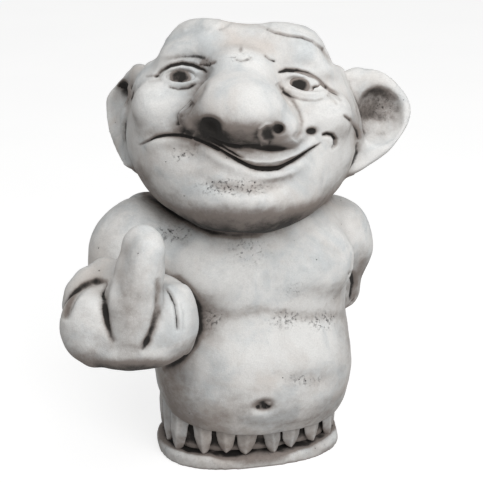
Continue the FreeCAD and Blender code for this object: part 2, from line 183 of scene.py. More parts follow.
def settings(name):
    """The scene's property group of that name."""
    return getattr(bpy.context.scene, name)


def select_only(obj):
    """Makes one object the only one selected and active."""
    bpy.ops.object.select_all(action="DESELECT")
    obj.select_set(True)
    bpy.context.view_layer.objects.active = obj


def edit_all(obj, operator, **values):
    """Runs an edit-mode operator on the whole mesh of an object."""
    select_only(obj)
    bpy.ops.object.mode_set(mode="EDIT")
    bpy.ops.mesh.select_all(action="SELECT")
    operator(**values)
    bpy.ops.object.mode_set(mode="OBJECT")


def loose_parts(obj):
    """The closed forms that an object falls into."""
    edit_all(obj, bpy.ops.mesh.separate, type="LOOSE")
    return list(bpy.context.selected_objects)


def node_copy(node):
    """A merged copy of a CAD node."""
    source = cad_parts[node]
    copy = source.copy()
    copy.data = source.data.copy()
    copy.parent = None
    copy.matrix_world = Matrix.Identity(4)
    bpy.context.collection.objects.link(copy)
    copy.hide_render = False
    edit_all(copy, bpy.ops.mesh.remove_doubles, threshold=MERGE_DISTANCE)
    return copy


def lump(centre, radii, place):
    """An egg-shaped lump of clay, given in millimetres in the frame of its place."""
    bpy.ops.object.select_all(action="DESELECT")
    bpy.ops.mesh.primitive_uv_sphere_add(segments=40, ring_count=24, radius=1)
    clay = bpy.context.object
    shape = Matrix.Translation(centre) @ Matrix.Diagonal((*radii, 1))
    clay.data.transform(Matrix.Scale(MM, 4) @ place @ shape)
    return clay


def roll(points, radii, place):
    """A roll of clay along points, in millimetres, with its own radius at each point."""
    gap = 0.4
    pieces = []
    for index in range(len(points) - 1):
        start, end = Vector(points[index]), Vector(points[index + 1])
        count = max(2, round((end - start).length / (gap * min(radii[index], radii[index + 1]))))
        for step in range(count):
            share = step / count
            radius = radii[index] * (1 - share) + radii[index + 1] * share
            pieces.append(lump(start.lerp(end, share), (radius, radius, radius), place))
    pieces.append(lump(points[-1], (radii[-1],) * 3, place))
    return joined(pieces, "roll")


def joined(pieces, name):
    """Several objects joined into one with a name."""
    bpy.ops.object.select_all(action="DESELECT")
    for piece in pieces:
        piece.select_set(True)
    bpy.context.view_layer.objects.active = pieces[0]
    if len(pieces) > 1:
        bpy.ops.object.join()
    whole = bpy.context.object
    whole.name = name
    whole.data.name = name
    whole.data.materials.clear()
    return whole


def apply_modifier(obj, kind, **values):
    """Adds a modifier, sets it and applies it."""
    select_only(obj)
    modifier = obj.modifiers.new(kind.title(), kind)
    for key, value in values.items():
        setattr(modifier, key, value)
    bpy.ops.object.modifier_apply(modifier=modifier.name)


def knead(obj, voxel, passes):
    """Works overlapping lumps into one skin of small faces and softens it."""
    apply_modifier(obj, "REMESH", mode="VOXEL", voxel_size=voxel)
    if passes:
        apply_modifier(obj, "SMOOTH", factor=0.5, iterations=passes)


def keep_largest(obj):
    """Deletes the walls that a remesh leaves inside."""
    name = obj.name
    pieces = sorted(loose_parts(obj), key=lambda piece: len(piece.data.vertices))
    largest = pieces.pop()
    for piece in pieces:
        bpy.data.objects.remove(piece)
    largest.name = name
    return largest


def rough_form(name, nodes, lumps, place, voxel, passes, rim=None):
    """Copies of CAD nodes and lumps of clay, worked into one skin."""
    pieces = [node_copy(node) for node in nodes]
    pieces += [lump(centre, radii, place) for centre, radii in lumps.values()]
    if rim:
        pieces.append(roll(*rim, place))
    rough = joined(pieces, name)
    knead(rough, voxel, passes)
    return rough


def fine_form(rough, voxel):
    """The rough form with a skin of small faces, ready for the tools."""
    knead(rough, voxel, passes=0)
    return Clay(keep_largest(rough))


def camera_basis():
    """The camera's place in millimetres and its right, up and backward directions."""
    view = settings("troll_stage")
    side, rise = view.azimuth, view.elevation
    back = np.array((math.sin(side) * math.cos(rise), -math.cos(side) * math.cos(rise), math.sin(rise)))
    right = np.array((math.cos(side), math.sin(side), 0.0))
    return (np.array(view.aim) + back * view.distance) / MM, right, np.cross(back, right), back


def focal_pixels():
    """The camera's focal length in the picture's pixels."""
    return PHOTO_PIXELS * settings("troll_stage").lens / SENSOR_WIDTH


def read_vectors(collection, field):
    """A vector field of a mesh, a row for each point."""
    flat = np.empty(len(collection) * 3)
    collection.foreach_get(field, flat)
    return flat.reshape(-1, 3)


class Clay:
    """The points of a mesh in millimetres, with their normals and where the camera sees them."""

    def __init__(self, obj):
        self.obj = obj
        self.eye, self.right, self.up, self.back = camera_basis()
        self.read()

    def read(self):
        """Reads points and normals from the mesh."""
        mesh = self.obj.data
        self.points = read_vectors(mesh.vertices, "co") / MM
        self.normals = read_vectors(mesh.vertex_normals, "vector")
        away = self.points - self.eye
        depth = -(away @ self.back)
        across = PHOTO_PIXELS / 2 + focal_pixels() * (away @ self.right) / depth
        down = PHOTO_PIXELS / 2 - focal_pixels() * (away @ self.up) / depth
        self.seen = np.stack([across, down], axis=1)
        away /= np.linalg.norm(away, axis=1)[:, None]
        self.facing = -np.einsum("ij,ij->i", self.normals, away)
        self.to_eye = -away

    def write(self):
        """Writes the points back and reads the new normals."""
        self.obj.data.vertices.foreach_set("co", (self.points * MM).ravel())
        self.obj.data.update()
        self.read()

    def push(self, heights):
        """Moves each point along its normal by its height."""
        self.points = self.points + self.normals * heights[:, None]
        self.write()

    def bore(self, depths):
        """Moves each point straight away from the camera."""
        self.points = self.points - self.to_eye * depths[:, None]
        self.write()

    def local(self, place):
        """The points in the frame of a place."""
        inverse = np.array(place.inverted())
        return self.points @ inverse[:3, :3].T + inverse[:3, 3]


class Sheet:
    """A sheet laid over the picture, on which lines are drawn enlarged."""

    def __init__(self, left, top, scale):
        self.corner = np.array((left, top), dtype=float)
        self.scale = scale

    def across(self, clay):
        """Where each point of the clay falls on the sheet."""
        return (clay.seen - self.corner) * self.scale

    def millimetres(self, clay):
        """Millimetres on the clay for one unit of the sheet."""
        depth = (clay.eye - clay.points) @ clay.back
        return depth / (focal_pixels() * self.scale)


def distance_to_line(points, line):
    """Each point's distance to a polyline and its share of the way along it."""
    line = np.array(line, dtype=float)
    lengths = np.linalg.norm(np.diff(line, axis=0), axis=1)
    reached = np.concatenate([[0.0], np.cumsum(lengths)])
    best = np.full(len(points), 1e9)
    share = np.zeros(len(points))
    for start, run, before, length in zip(line, np.diff(line, axis=0), reached, lengths):
        along = np.clip(((points - start) @ run) / max(length**2, 1e-9), 0, 1)
        away = np.linalg.norm(points - (start + along[:, None] * run), axis=1)
        nearer = away < best
        best[nearer] = away[nearer]
        share[nearer] = (before + along[nearer] * length) / reached[-1]
    return best, share


def rounded(line):
    """A line with its corners cut off twice."""
    for _ in range(2):
        inner = [
            tuple(a + (b - a) * share for a, b in zip(start, end))
            for start, end in zip(line, line[1:])
            for share in (0.25, 0.75)
        ]
        line = [line[0], *inner[1:-1], line[-1]]
    return line


def fade(values, start, width):
    """0 up to a start and 1 from a width after it, in a straight line between."""
    return np.clip((values - start) / width, 0, 1)


def step_up(values, width):
    """A soft step from 0 to 1 where the values pass 0."""
    return 1 / (1 + np.exp(-values / width))


def bump_at(values, middle, width):
    """1 at a middle value, falling off in a bell over a width."""
    return np.exp(-(((values - middle) / width) ** 2))


def stroke(clay, sheet, line, width, height, ends=0.12, mask=1.0):
    """The height field of a tool drawn along a line; its ends are the shares over which it fades out."""
    away, share = distance_to_line(sheet.across(clay), line)
    field = height * bump_at(away * sheet.millimetres(clay), 0.0, width)
    return field * fade(share, 0, ends) ** 0.5 * fade(1 - share, 0, ends) ** 0.5 * mask


def strokes(clay, sheet, marks, mask=1.0):
    """The height field of several strokes, each with its line, width, height and perhaps its ends."""
    return sum(stroke(clay, sheet, *mark, mask=mask) for mark in marks)


def dab(clay, sheet, centre, radii, height, power=2.0, lean=0.0, mask=1.0):
    """The height field of an oval dab on a sheet, its radii in the sheet's units, leaning by degrees."""
    flat = sheet.across(clay) - np.array(centre)
    turn = math.radians(lean)
    along = flat[:, 0] * math.cos(turn) + flat[:, 1] * math.sin(turn)
    cross = -flat[:, 0] * math.sin(turn) + flat[:, 1] * math.cos(turn)
    return height * np.exp(-(np.hypot(along / radii[0], cross / radii[1]) ** power)) * mask


def dabs(clay, sheet, marks, mask=1.0):
    """The height field of several named dabs, each with its centre, radii, height, power and lean."""
    return sum(dab(clay, sheet, *mark, mask=mask) for mark in marks.values())


def from_spot(clay, sheet, spot, radii=(1, 1)):
    """Each point's distance from a spot of a sheet, counted in an oval's radii."""
    return np.linalg.norm((sheet.across(clay) - np.array(spot)) / radii, axis=1)


def patch(clay, sheet, spot, radii, power=4):
    """1 in a patch with round corners on a sheet, fading out at its edge."""
    return np.exp(-(((sheet.across(clay) - np.array(spot)) / radii) ** power).sum(axis=1))


def near_lines(clay, sheet, lines):
    """Each point's distance on a sheet to the nearest of several lines."""
    return np.min([distance_to_line(sheet.across(clay), line)[0] for line in lines], axis=0)


def noise_at(clay, scale, shift):
    """Noise between -1 and 1 at each point."""
    shift = Vector(shift)
    return np.array([noise(Vector(point) + shift) for point in clay.points / scale])


def press(clay, sheet, line):
    """Presses clay that shows outside a line of a sheet, on its left side as drawn, back to the line."""
    inner, outer, give, bite = -6.0, 60.0, 0.94, 0.5
    flat = sheet.across(clay)
    pressed = clay.points.copy()
    for start, end in zip(line, line[1:]):
        start, end = np.array(start, dtype=float), np.array(end, dtype=float)
        run = end - start
        along = (flat - start) @ run / (run @ run)
        outward = np.array((run[1], -run[0])) / np.linalg.norm(run)
        over = (flat - start) @ outward
        hit = (along >= 0) & (along < 1) & (over > inner) & (over < outer)
        shift = (np.maximum(over, 0)[hit] * give + bite) * sheet.millimetres(clay)[hit]
        pressed[hit] -= (outward[0] * clay.right - outward[1] * clay.up) * shift[:, None]
    clay.points = pressed
    clay.write()


# The waves of hand-worked clay on each piece: their width and height in millimetres, and their seed
WAVES = {
    "head": ((22, 0.9, 1), (9, 0.35, 2)),
    "body": ((26, 1.3, 3), (10, 0.4, 4)),
    "hand": ((16, 0.5, 5), (6, 0.15, 6)),
    "hips": ((9, 0.7, 7),),
    "skirt": ((6, 0.35, 8),),
    "plinth": ((14, 0.9, 9), (5, 0.3, 10)),
}


def unevenness(clay, piece):
    """The height field of a piece's waves."""
    waves = ((width, height, (seed * 7.3, seed * 3.1, seed * 5.7)) for width, height, seed in WAVES[piece])
    return sum(height * noise_at(clay, width, shift) for width, height, shift in waves)


def ring_neighbours(mesh):
    """The two ends of each edge, and how many edges meet at each point."""
    ends = np.empty(len(mesh.edges) * 2, dtype=np.int64)
    mesh.edges.foreach_get("vertices", ends)
    ends = ends.reshape(-1, 2)
    count = np.bincount(ends.ravel(), minlength=len(mesh.vertices))
    return ends, np.maximum(count, 1)


def spread(values, ends, count, passes):
    """Averages a value, or a point, with its neighbours."""
    for _ in range(passes):
        if values.ndim == 1:
            total = np.bincount(ends[:, 0], values[ends[:, 1]], len(count))
            total += np.bincount(ends[:, 1], values[ends[:, 0]], len(count))
            values = 0.5 * values + 0.5 * total / count
        else:
            values = np.stack([spread(column, ends, count, 1) for column in values.T], axis=1)
    return values


def refine(clay, marked):
    """Splits the faces whose points are all marked, so that finer tools can work there."""
    select_only(clay.obj)
    bpy.ops.object.mode_set(mode="EDIT")
    bpy.ops.mesh.select_all(action="DESELECT")
    bpy.ops.mesh.select_mode(type="VERT")
    bpy.ops.object.mode_set(mode="OBJECT")
    clay.obj.data.vertices.foreach_set("select", marked)
    bpy.ops.object.mode_set(mode="EDIT")
    bpy.ops.mesh.select_mode(type="FACE")
    bpy.ops.mesh.subdivide(number_cuts=1, smoothness=0.6)
    bpy.ops.object.mode_set(mode="OBJECT")
    clay.read()


def relax(clay, passes, mask=1.0):
    """Softens the skin, everywhere or where a mask says."""
    soft = spread(clay.points, *ring_neighbours(clay.obj.data), passes)
    clay.points = clay.points + (soft - clay.points) * np.reshape(mask, (-1, 1))
    clay.write()


def set_points(obj, name, values):
    """Stores one number per point as an attribute."""
    attribute = obj.data.attributes.get(name) or obj.data.attributes.new(name, "FLOAT", "POINT")
    attribute.data.foreach_set("value", np.asarray(values, dtype=np.float32))


def mark_hollows(clay, pitted=0.0, painted_light_and_stain=0.0):
    """Stores how deep each point lies in a crease and in a valley, how pitted it is, and its painted shade,
    painted light and soiling.
    """
    crease_depth, valley_depth = 0.30, 1.1
    ends, count = ring_neighbours(clay.obj.data)
    near = spread(clay.points, ends, count, 6)
    far = spread(near, ends, count, 40)
    crease = np.einsum("ij,ij->i", near - clay.points, clay.normals) / crease_depth
    valley = np.einsum("ij,ij->i", far - clay.points, clay.normals) / valley_depth
    # Stone that faces down gets painted shade, along with its grime
    underside = np.clip(-clay.normals[:, 2] - 0.1, 0, 1) ** 0.8
    set_points(clay.obj, "hollow", spread(np.clip(crease, -1, 1), ends, count, 1))
    set_points(clay.obj, "valley", spread(np.clip(valley, -1, 1), ends, count, 4))
    set_points(clay.obj, "dirt", np.clip(0.62 * underside + painted_light_and_stain, -0.4, 2.2))
    set_points(clay.obj, "pitted", np.clip(pitted + np.zeros(len(clay.points)), 0, 1))


def fit_inside(obj):
    """Keeps a piece inside the CAD model's own box and a little more."""
    margin = 0.004
    low = np.array(CAD_BOX[0]) - margin
    high = np.array(CAD_BOX[1]) + margin
    low[2] = CAD_BOX[0][2]
    points = np.clip(read_vectors(obj.data.vertices, "co"), low, high)
    obj.data.vertices.foreach_set("co", points.ravel())
    obj.data.update()


def finish_piece(obj, *nodes):
    """Gives a stone piece its material, its body and the nodes that it stands for."""
    triangles = sum(len(face.vertices) - 2 for face in obj.data.polygons)
    if triangles > MOST_TRIANGLES:
        apply_modifier(obj, "DECIMATE", ratio=MOST_TRIANGLES / triangles)
    obj.data.materials.clear()
    obj.data.materials.append(stone_material())
    fit_inside(obj)
    select_only(obj)
    bpy.ops.object.shade_smooth()
    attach(obj, BODY)
    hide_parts(*nodes)


# The face, drawn on a sheet over the picture's upper part
FACE = Sheet(95, 10, 4.82)
MOUTH = [(208, 655), (228, 648), (250, 634), (285, 614), (330, 604), (380, 602), (430, 608), (480, 622)]
MOUTH += [(530, 642), (590, 668), (645, 700), (700, 732), (755, 757), (820, 768), (885, 760), (945, 733)]
MOUTH += [(1000, 700), (1050, 668), (1095, 640)]
MOUTH_CORNER = [(1092, 606), (1120, 600), (1145, 606), (1160, 625), (1160, 650), (1143, 674)]
NOSTRIL_CURL = [(866, 552), (824, 554), (798, 576), (792, 606), (806, 634), (838, 644)]
NOSE_FOOT = [(545, 610), (590, 640), (640, 656), (700, 664), (760, 660), (800, 656)]
SECOND_LINE = [(560, 628), (620, 662), (680, 696), (730, 722)]
UPPER_LIP = [(600, 660), (660, 690), (715, 712), (775, 728), (840, 730), (900, 716), (960, 690), (1015, 660)]
UPPER_LIP += [(1065, 630)]
LOWER_LIP = [(500, 660), (560, 690), (620, 728), (690, 765), (760, 795), (835, 806), (905, 794), (965, 762)]
LOWER_LIP += [(1020, 722)]
LEFT_LIP = [(240, 665), (290, 640), (350, 632), (420, 638), (480, 655)]
CHIN_CREASE = [(470, 780), (540, 822), (600, 850), (660, 866), (740, 870), (820, 858), (890, 836), (950, 800)]
LEFT_NOSE_EDGE = [(560, 270), (528, 320), (508, 380), (482, 430), (445, 480), (412, 515), (404, 550)]
LEFT_NOSE_EDGE += [(425, 590), (470, 612)]
RIGHT_NOSE_EDGE = [(880, 350), (915, 400), (955, 440), (985, 490), (998, 540), (990, 590), (962, 628)]
LEFT_LID_CREASE = [(285, 325), (320, 292), (360, 268), (415, 254), (470, 262), (515, 284), (538, 306)]
LEFT_LID = [(322, 314), (365, 288), (415, 277), (465, 285), (503, 308)]
LEFT_LOWER_LID = [(335, 348), (375, 358), (425, 362), (470, 352), (500, 332)]
LEFT_UNDER_LID = [(345, 368), (400, 382), (450, 376), (488, 354)]
RIGHT_LID_CREASE = [(880, 302), (925, 288), (975, 290), (1025, 306), (1075, 338), (1125, 378), (1185, 410)]
RIGHT_LID = [(903, 325), (950, 312), (1000, 321), (1052, 343), (1103, 380)]
RIGHT_LOWER_LID = [(912, 372), (960, 394), (1010, 405), (1060, 407), (1112, 398)]
RIGHT_UNDER_LID = [(900, 392), (945, 418), (1000, 434), (1060, 438), (1112, 424)]
RIGHT_BAG = [(888, 398), (920, 432), (955, 468)]
TEMPLE_LINES = [[(240, 322), (285, 318), (318, 322)], [(250, 348), (285, 340), (325, 334)]]
TEMPLE_LINES += [[(1120, 392), (1160, 412), (1196, 442)], [(1115, 405), (1150, 432), (1175, 462)]]
LEFT_BROW_LINE = [(305, 262), (355, 240), (420, 226), (480, 222), (535, 230)]
RIGHT_CHEEK_LINE = [(1196, 505), (1235, 538), (1262, 585), (1272, 628)]
JAW_LINE = [(1256, 640), (1262, 690), (1242, 738), (1215, 775)]
JAW_SHADE = [(228, 874), (300, 934), (400, 998), (500, 1054), (600, 1084), (700, 1092), (800, 1080)]
JAW_SHADE += [(900, 1040), (1000, 986), (1100, 926), (1180, 866)]
LEFT_CHEEK_EDGE = [(172, 330), (176, 390), (160, 450), (148, 520), (146, 590), (155, 650)]
LEFT_SMILE_FOLD = [(470, 440), (425, 480), (398, 520), (400, 560)]
FROWN = [[(668, 236), (705, 246), (740, 238), (765, 222)], [(815, 215), (840, 236), (872, 250)]]
FROWN += [[(500, 262), (545, 268), (585, 248)]]
CROWN_NOTCH = [(590, 92), (622, 76), (645, 58), (662, 46)]
RIGHT_LOCK_LINE = [(765, 66), (815, 82), (868, 108), (930, 124), (1000, 132), (1052, 152), (1092, 186)]
RIGHT_LOCK_LINE += [(1122, 228), (1142, 270)]
RIGHT_LOCK = [(835, 70), (895, 82), (960, 92), (1020, 108), (1068, 138), (1105, 182)]
LEFT_LOCK = [(400, 84), (450, 66), (510, 58), (575, 66), (625, 56)]
RIGHT_STRAND = [(940, 86), (1000, 100), (1050, 128)]
LEFT_STRAND = [(430, 96), (490, 84), (550, 90)]
EAR_BOWL = [(1236, 500), (1262, 448), (1310, 402), (1372, 384), (1432, 404), (1462, 450), (1462, 500)]
EAR_TOP = [(1150, 285), (1200, 280), (1260, 280), (1330, 285), (1400, 300)]
# The outlines of the skull and of the left ear, drawn with the head on the right hand
SKULL_OUTLINES = [
    [(292, 246), (318, 190), (345, 140), (375, 98), (412, 62), (460, 42), (520, 36), (600, 44), (645, 56)],
    [(645, 56), (720, 66), (800, 66), (850, 56), (930, 58), (1010, 72), (1062, 104), (1096, 150)]
    + [(1124, 204), (1152, 272)],
]
EAR_OUTLINE = [(56, 470), (50, 428), (78, 390), (118, 346), (160, 304), (200, 268), (250, 246), (300, 240)]
# Clay that makes the nose one form with its wings, in the head's frame
NOSE_LUMPS = {
    "bridge": ((-2, -43, 21), (19, 13, 16)),
    "ball": ((-2, -53, 3), (24, 20, 18.5)),
    "right wing": ((20, -49, -5), (11.5, 10, 9)),
    "left wing": ((-24, -48, -4), (10.5, 9, 9)),
}
FACE_FORMS = {
    "right cheek": ((1105, 510), (95, 80), 2.6),
    "left cheek": ((262, 440), (105, 95), 2.0),
    "chin": ((820, 915), (210, 60), 1.8),
    "left of the forehead": ((520, 150), (150, 60), 1.0),
    "right of the forehead": ((960, 220), (130, 60), 1.0),
    "left brow": ((400, 215), (120, 34), -1.6),
    "right brow": ((1010, 262), (120, 34), -1.6),
    "left socket": ((412, 318), (120, 62), -1.4),
    "right socket": ((1004, 362), (120, 62), -1.4),
}
SKULL_FORMS = {
    "double chin": ((690, 1050), (330, 60), 2.4),
    "dip between the locks": ((735, 40), (85, 45), -2.6),
    "right temple": ((1150, 190), (60, 90), -1.6),
}
MOUTH_DEPTHS = {
    "middle of the mouth": ((830, 766), (90, 11), -0.9),
    "dimple": ((1045, 585), (24, 16), -1.8),
}
EAR_BOWL_DIP = {"bowl": ((1352, 490), (110, 95), -1.0, 2.6)}
EAR_TOP_SWELL = {"top of the ear": ((1200, 290), (80, 36), 1.9)}
EAR_INSIDES = {
    "floor of the bowl": ((1350, 560), (50, 30), 1.6),
    "wall of the bowl": ((1380, 450), (70, 45), -0.3),
    "left ear's bowl": ((146, 400), (34, 46), -2.6),
}
NOSTRILS = {
    "left nostril": ((562, 552), (40, 30), 6.0, 2.6, 24),
    "left nostril's floor": ((585, 590), (22, 26), 2.5),
    "right nostril": ((884, 573), (25, 22), 5.0, 2.6),
    "ring round the curl": ((846, 600), (38, 28), 1.7, 3.0),
    "hollow over the lip": ((850, 668), (70, 15), 2.8, 2.6),
}
FACE_PITS = {
    "chin": ((660, 855), (170, 40), 1.0),
    "left of the chin": ((430, 700), (70, 45), 0.7),
    "left frown": ((535, 258), (60, 26), 0.8),
    "top of the nose": ((700, 230), (90, 26), 0.5),
    "ear's bowl": ((1380, 470), (90, 80), 0.6),
}
# Painted shade under the nose and the chin, in the nostrils and the ears' bowls and down the shaded sides,
# with grime in the bowls
FACE_SHADE_AND_GRIME = {
    "left nostril": ((558, 558), (56, 42), 1.6, 3.0, 30),
    "under the left nostril": ((590, 618), (44, 28), 0.9),
    "underside of the nose": ((690, 600), (210, 72), 0.74),
    "left wing": ((462, 540), (66, 60), 0.6),
    "right nostril": ((884, 570), (30, 28), 0.9),
    "curl": ((842, 600), (34, 30), 0.7),
    "right ear's bowl": ((1350, 490), (125, 105), 0.42, 2.6),
    "left ear's bowl": ((140, 400), (44, 62), 1.1),
    "right ear's root": ((1268, 600), (30, 40), 0.6),
    "wall of the bowl": ((1300, 500), (60, 60), 0.2),
    "under the chin": ((700, 1030), (420, 60), 0.6),
    "hollow over the lip": ((850, 668), (70, 16), 1.0),
    "left lip": ((500, 616), (110, 30), 0.45),
    "left frown": ((535, 250), (50, 20), 0.6),
    "over the left lip": ((330, 592), (110, 26), 0.35),
    "left jaw": ((230, 800), (90, 60), 0.3),
    "dimple": ((1045, 585), (26, 20), 0.9),
    "left brow": ((415, 232), (130, 16), 0.3),
    "chin": ((810, 925), (170, 50), 0.24),
    "pit of the forehead": ((703, 190), (12, 20), 0.8),
    "bridge of the nose": ((700, 360), (130, 100), 0.27),
    "left side of the nose": ((480, 400), (60, 90), 0.25),
    "crease of the chin": ((660, 850), (130, 30), 0.25),
}
# Painted shade along the creases, the jaw and the sides of the nose, with their grime
FACE_SHADE_AND_GRIME_LINES = [
    (CHIN_CREASE, 3.2, 0.25, 0.45),
    (RIGHT_LID_CREASE, 1.1, 0.8),
    (LEFT_LID_CREASE, 1.0, 0.6),
    (MOUTH, 1.4, 0.45),
    (LEFT_UNDER_LID, 0.9, 0.35),
    (RIGHT_UNDER_LID, 1.0, 0.35),
    (RIGHT_LOCK_LINE, 1.2, 0.4),
    (LEFT_NOSE_EDGE, 3.0, 0.3),
    (RIGHT_NOSE_EDGE, 1.2, 0.5),
    (JAW_SHADE, 3.6, 0.6, 0.4),
    (RIGHT_CHEEK_LINE, 1.3, 0.35),
    (SECOND_LINE, 1.0, 0.5),
    (NOSE_FOOT, 1.4, 0.6),
    (MOUTH_CORNER, 1.0, 0.4),
]
FACE_SHADE_AND_GRIME_LINES += [(line, 0.9, 0.4) for line in FROWN + TEMPLE_LINES]


def skin_mask(clay):
    """1 on the stone that faces the camera, fading out round the sides."""
    return fade(clay.facing, 0.08, 0.25)


def hair_region(clay):
    """1 where hair covers the head: behind the hairline and the ears."""
    x, y, z = clay.local(HEAD_PLACE).T
    hairline = 46.0 - 10.0 * np.maximum(np.abs(x + 2) - 24, 0) / 22.0
    front = step_up(z - hairline - 1.5, 0.8)
    behind = step_up(y - 6, 1.2) * (z > -42)
    return np.maximum(front, behind) * (np.abs(x) < 64)


def smooth_skin(clay):
    """1 on the face, where the lumps flow into each other, and near 0 on the hair and the ears."""
    x, y, z = clay.local(HEAD_PLACE).T
    front = step_up(-(y + 14 + 0.25 * np.maximum(z - 20, 0)), 3.0)
    return np.maximum(front, 0.06) * (np.abs(x) < 66)


def worked_skin(clay):
    """True where lines are cut into the face, so that the skin has to be finer there."""
    lines = (MOUTH, MOUTH_CORNER, UPPER_LIP, NOSE_FOOT, CHIN_CREASE, LEFT_NOSE_EDGE, RIGHT_NOSE_EDGE)
    worked = near_lines(clay, FACE, lines) < 34
    worked |= near_lines(clay, FACE, (RIGHT_LOCK_LINE, CROWN_NOTCH, RIGHT_CHEEK_LINE)) < 22
    for eye in ((414, 315), (1010, 358)):
        worked |= from_spot(clay, FACE, eye, (150, 90)) < 1
    for nostril in ((560, 560), (855, 600)):
        worked |= from_spot(clay, FACE, nostril, (95, 75)) < 1
    return worked & (clay.facing > 0) & (clay.local(HEAD_PLACE)[:, 1] < 0)


class TROLL_OT_head(bpy.types.Operator):
    """Sculpt the head with its nose, ears, lids, lips and hair"""

    bl_idname = "troll.head"
    bl_label = "Head"

    def execute(self, context):
        nodes = ("head", "hair", "nose", "right_ear", "left_ear")
        rough = rough_form("troll_head", nodes, NOSE_LUMPS, HEAD_PLACE, voxel=0.0014, passes=4)
        clay = Clay(rough)
        relax(clay, 40, smooth_skin(clay))
        clay = fine_form(rough, settings("troll_sculpt").head_voxel)
        relax(clay, 2)
        field = dabs(clay, FACE, FACE_FORMS, skin_mask(clay)) + dabs(clay, FACE, SKULL_FORMS)
        clay.push(field + unevenness(clay, "head"))
        for line in SKULL_OUTLINES + [EAR_OUTLINE]:
            press(clay, FACE, line)
        relax(clay, 4)
        refine(clay, worked_skin(clay))
        relax(clay, 2)
        pitted = sculpt_face(clay)
        sculpt_hair(clay)
        for line in SKULL_OUTLINES:
            press(clay, FACE, line)
        soften_outlines(clay)
        ahead = fade(clay.facing, -0.3, 0.3) * (clay.local(HEAD_PLACE)[:, 1] < 26)
        # Painted shade and grime from the tables, kept to the front of the head
        painted_light_and_stain = dabs(clay, FACE, FACE_SHADE_AND_GRIME) + strokes(clay, FACE, FACE_SHADE_AND_GRIME_LINES)
        mark_hollows(clay, pitted * skin_mask(clay), painted_light_and_stain * ahead)
        finish_piece(clay.obj, *nodes, "upper_lip", "lower_lip", "right_eyelids", "left_eyelids")
        return {"FINISHED"}


def cut(clay, lines, width, depth, ends=0.12):
    """Cuts several lines of the face at once."""
    clay.push(strokes(clay, FACE, [(line, width, -depth, ends) for line in lines], skin_mask(clay)))


def raise_rolls(clay, rolls):
    """Raises several (line, width, height) rolls of the face at once."""
    clay.push(strokes(clay, FACE, [(*mark, 0.2) for mark in rolls], skin_mask(clay)))


def sculpt_face(clay):
    """Draws the lines of the face and returns where the stone is pitted."""
    cut(clay, [LEFT_NOSE_EDGE, RIGHT_NOSE_EDGE], 1.9, 1.5)
    raise_rolls(clay, [(UPPER_LIP, 1.9, 2.2), (LOWER_LIP, 3.2, 2.2), (LEFT_LIP, 2.6, 1.0)])
    # The groove of the mouth is wider and shallower on the left, and the two strokes overlap in the middle
    mouth = rounded(MOUTH)
    left_end, right_start = 36, 26
    cut(clay, [mouth[:left_end]], 0.7, 1.4, 0.3)
    cut(clay, [mouth[right_start:]], 0.62, 1.9, 0.25)
    cut(clay, [NOSE_FOOT, MOUTH_CORNER], 0.95, 1.9, 0.25)
    cut(clay, [SECOND_LINE], 0.6, 0.9, 0.3)
    clay.push(dabs(clay, FACE, MOUTH_DEPTHS, skin_mask(clay)))
    upper_lids = [(LEFT_LID, 1.7, 2.3), (RIGHT_LID, 1.7, 2.3)]
    raise_rolls(clay, upper_lids + [(LEFT_LOWER_LID, 1.2, 1.5), (RIGHT_LOWER_LID, 1.2, 1.5)])
    cut(clay, [LEFT_LID_CREASE, RIGHT_LID_CREASE], 0.9, 1.4)
    cut(clay, [LEFT_UNDER_LID, RIGHT_UNDER_LID, RIGHT_BAG], 0.8, 0.55)
    cut(clay, TEMPLE_LINES + [RIGHT_CHEEK_LINE], 0.8, 0.8)
    cut(clay, [LEFT_BROW_LINE, JAW_LINE, LEFT_CHEEK_EDGE], 1.3, 0.6)
    cut(clay, FROWN, 0.8, 0.6)
    cut(clay, [LEFT_SMILE_FOLD], 1.8, 1.2)
    cut(clay, [CHIN_CREASE], 3.2, 1.4, 0.45)
    cut(clay, [EAR_BOWL], 4.5, 0.7)
    mask = skin_mask(clay)
    clay.push(dabs(clay, FACE, EAR_BOWL_DIP, mask) + dabs(clay, FACE, EAR_TOP_SWELL))
    clay.push(dabs(clay, FACE, EAR_INSIDES, mask))
    # Nostrils are bored away from the camera, the right one with a curl of stone left inside
    on_nose = (clay.facing > -0.1) * (clay.local(HEAD_PLACE)[:, 1] < -34)
    depths = (dabs(clay, FACE, NOSTRILS) - stroke(clay, FACE, NOSTRIL_CURL, 1.0, 1.1)) * on_nose
    clay.bore(depths)
    relax(clay, 3, np.clip(depths, 0, 1))
    return dabs(clay, FACE, FACE_PITS)


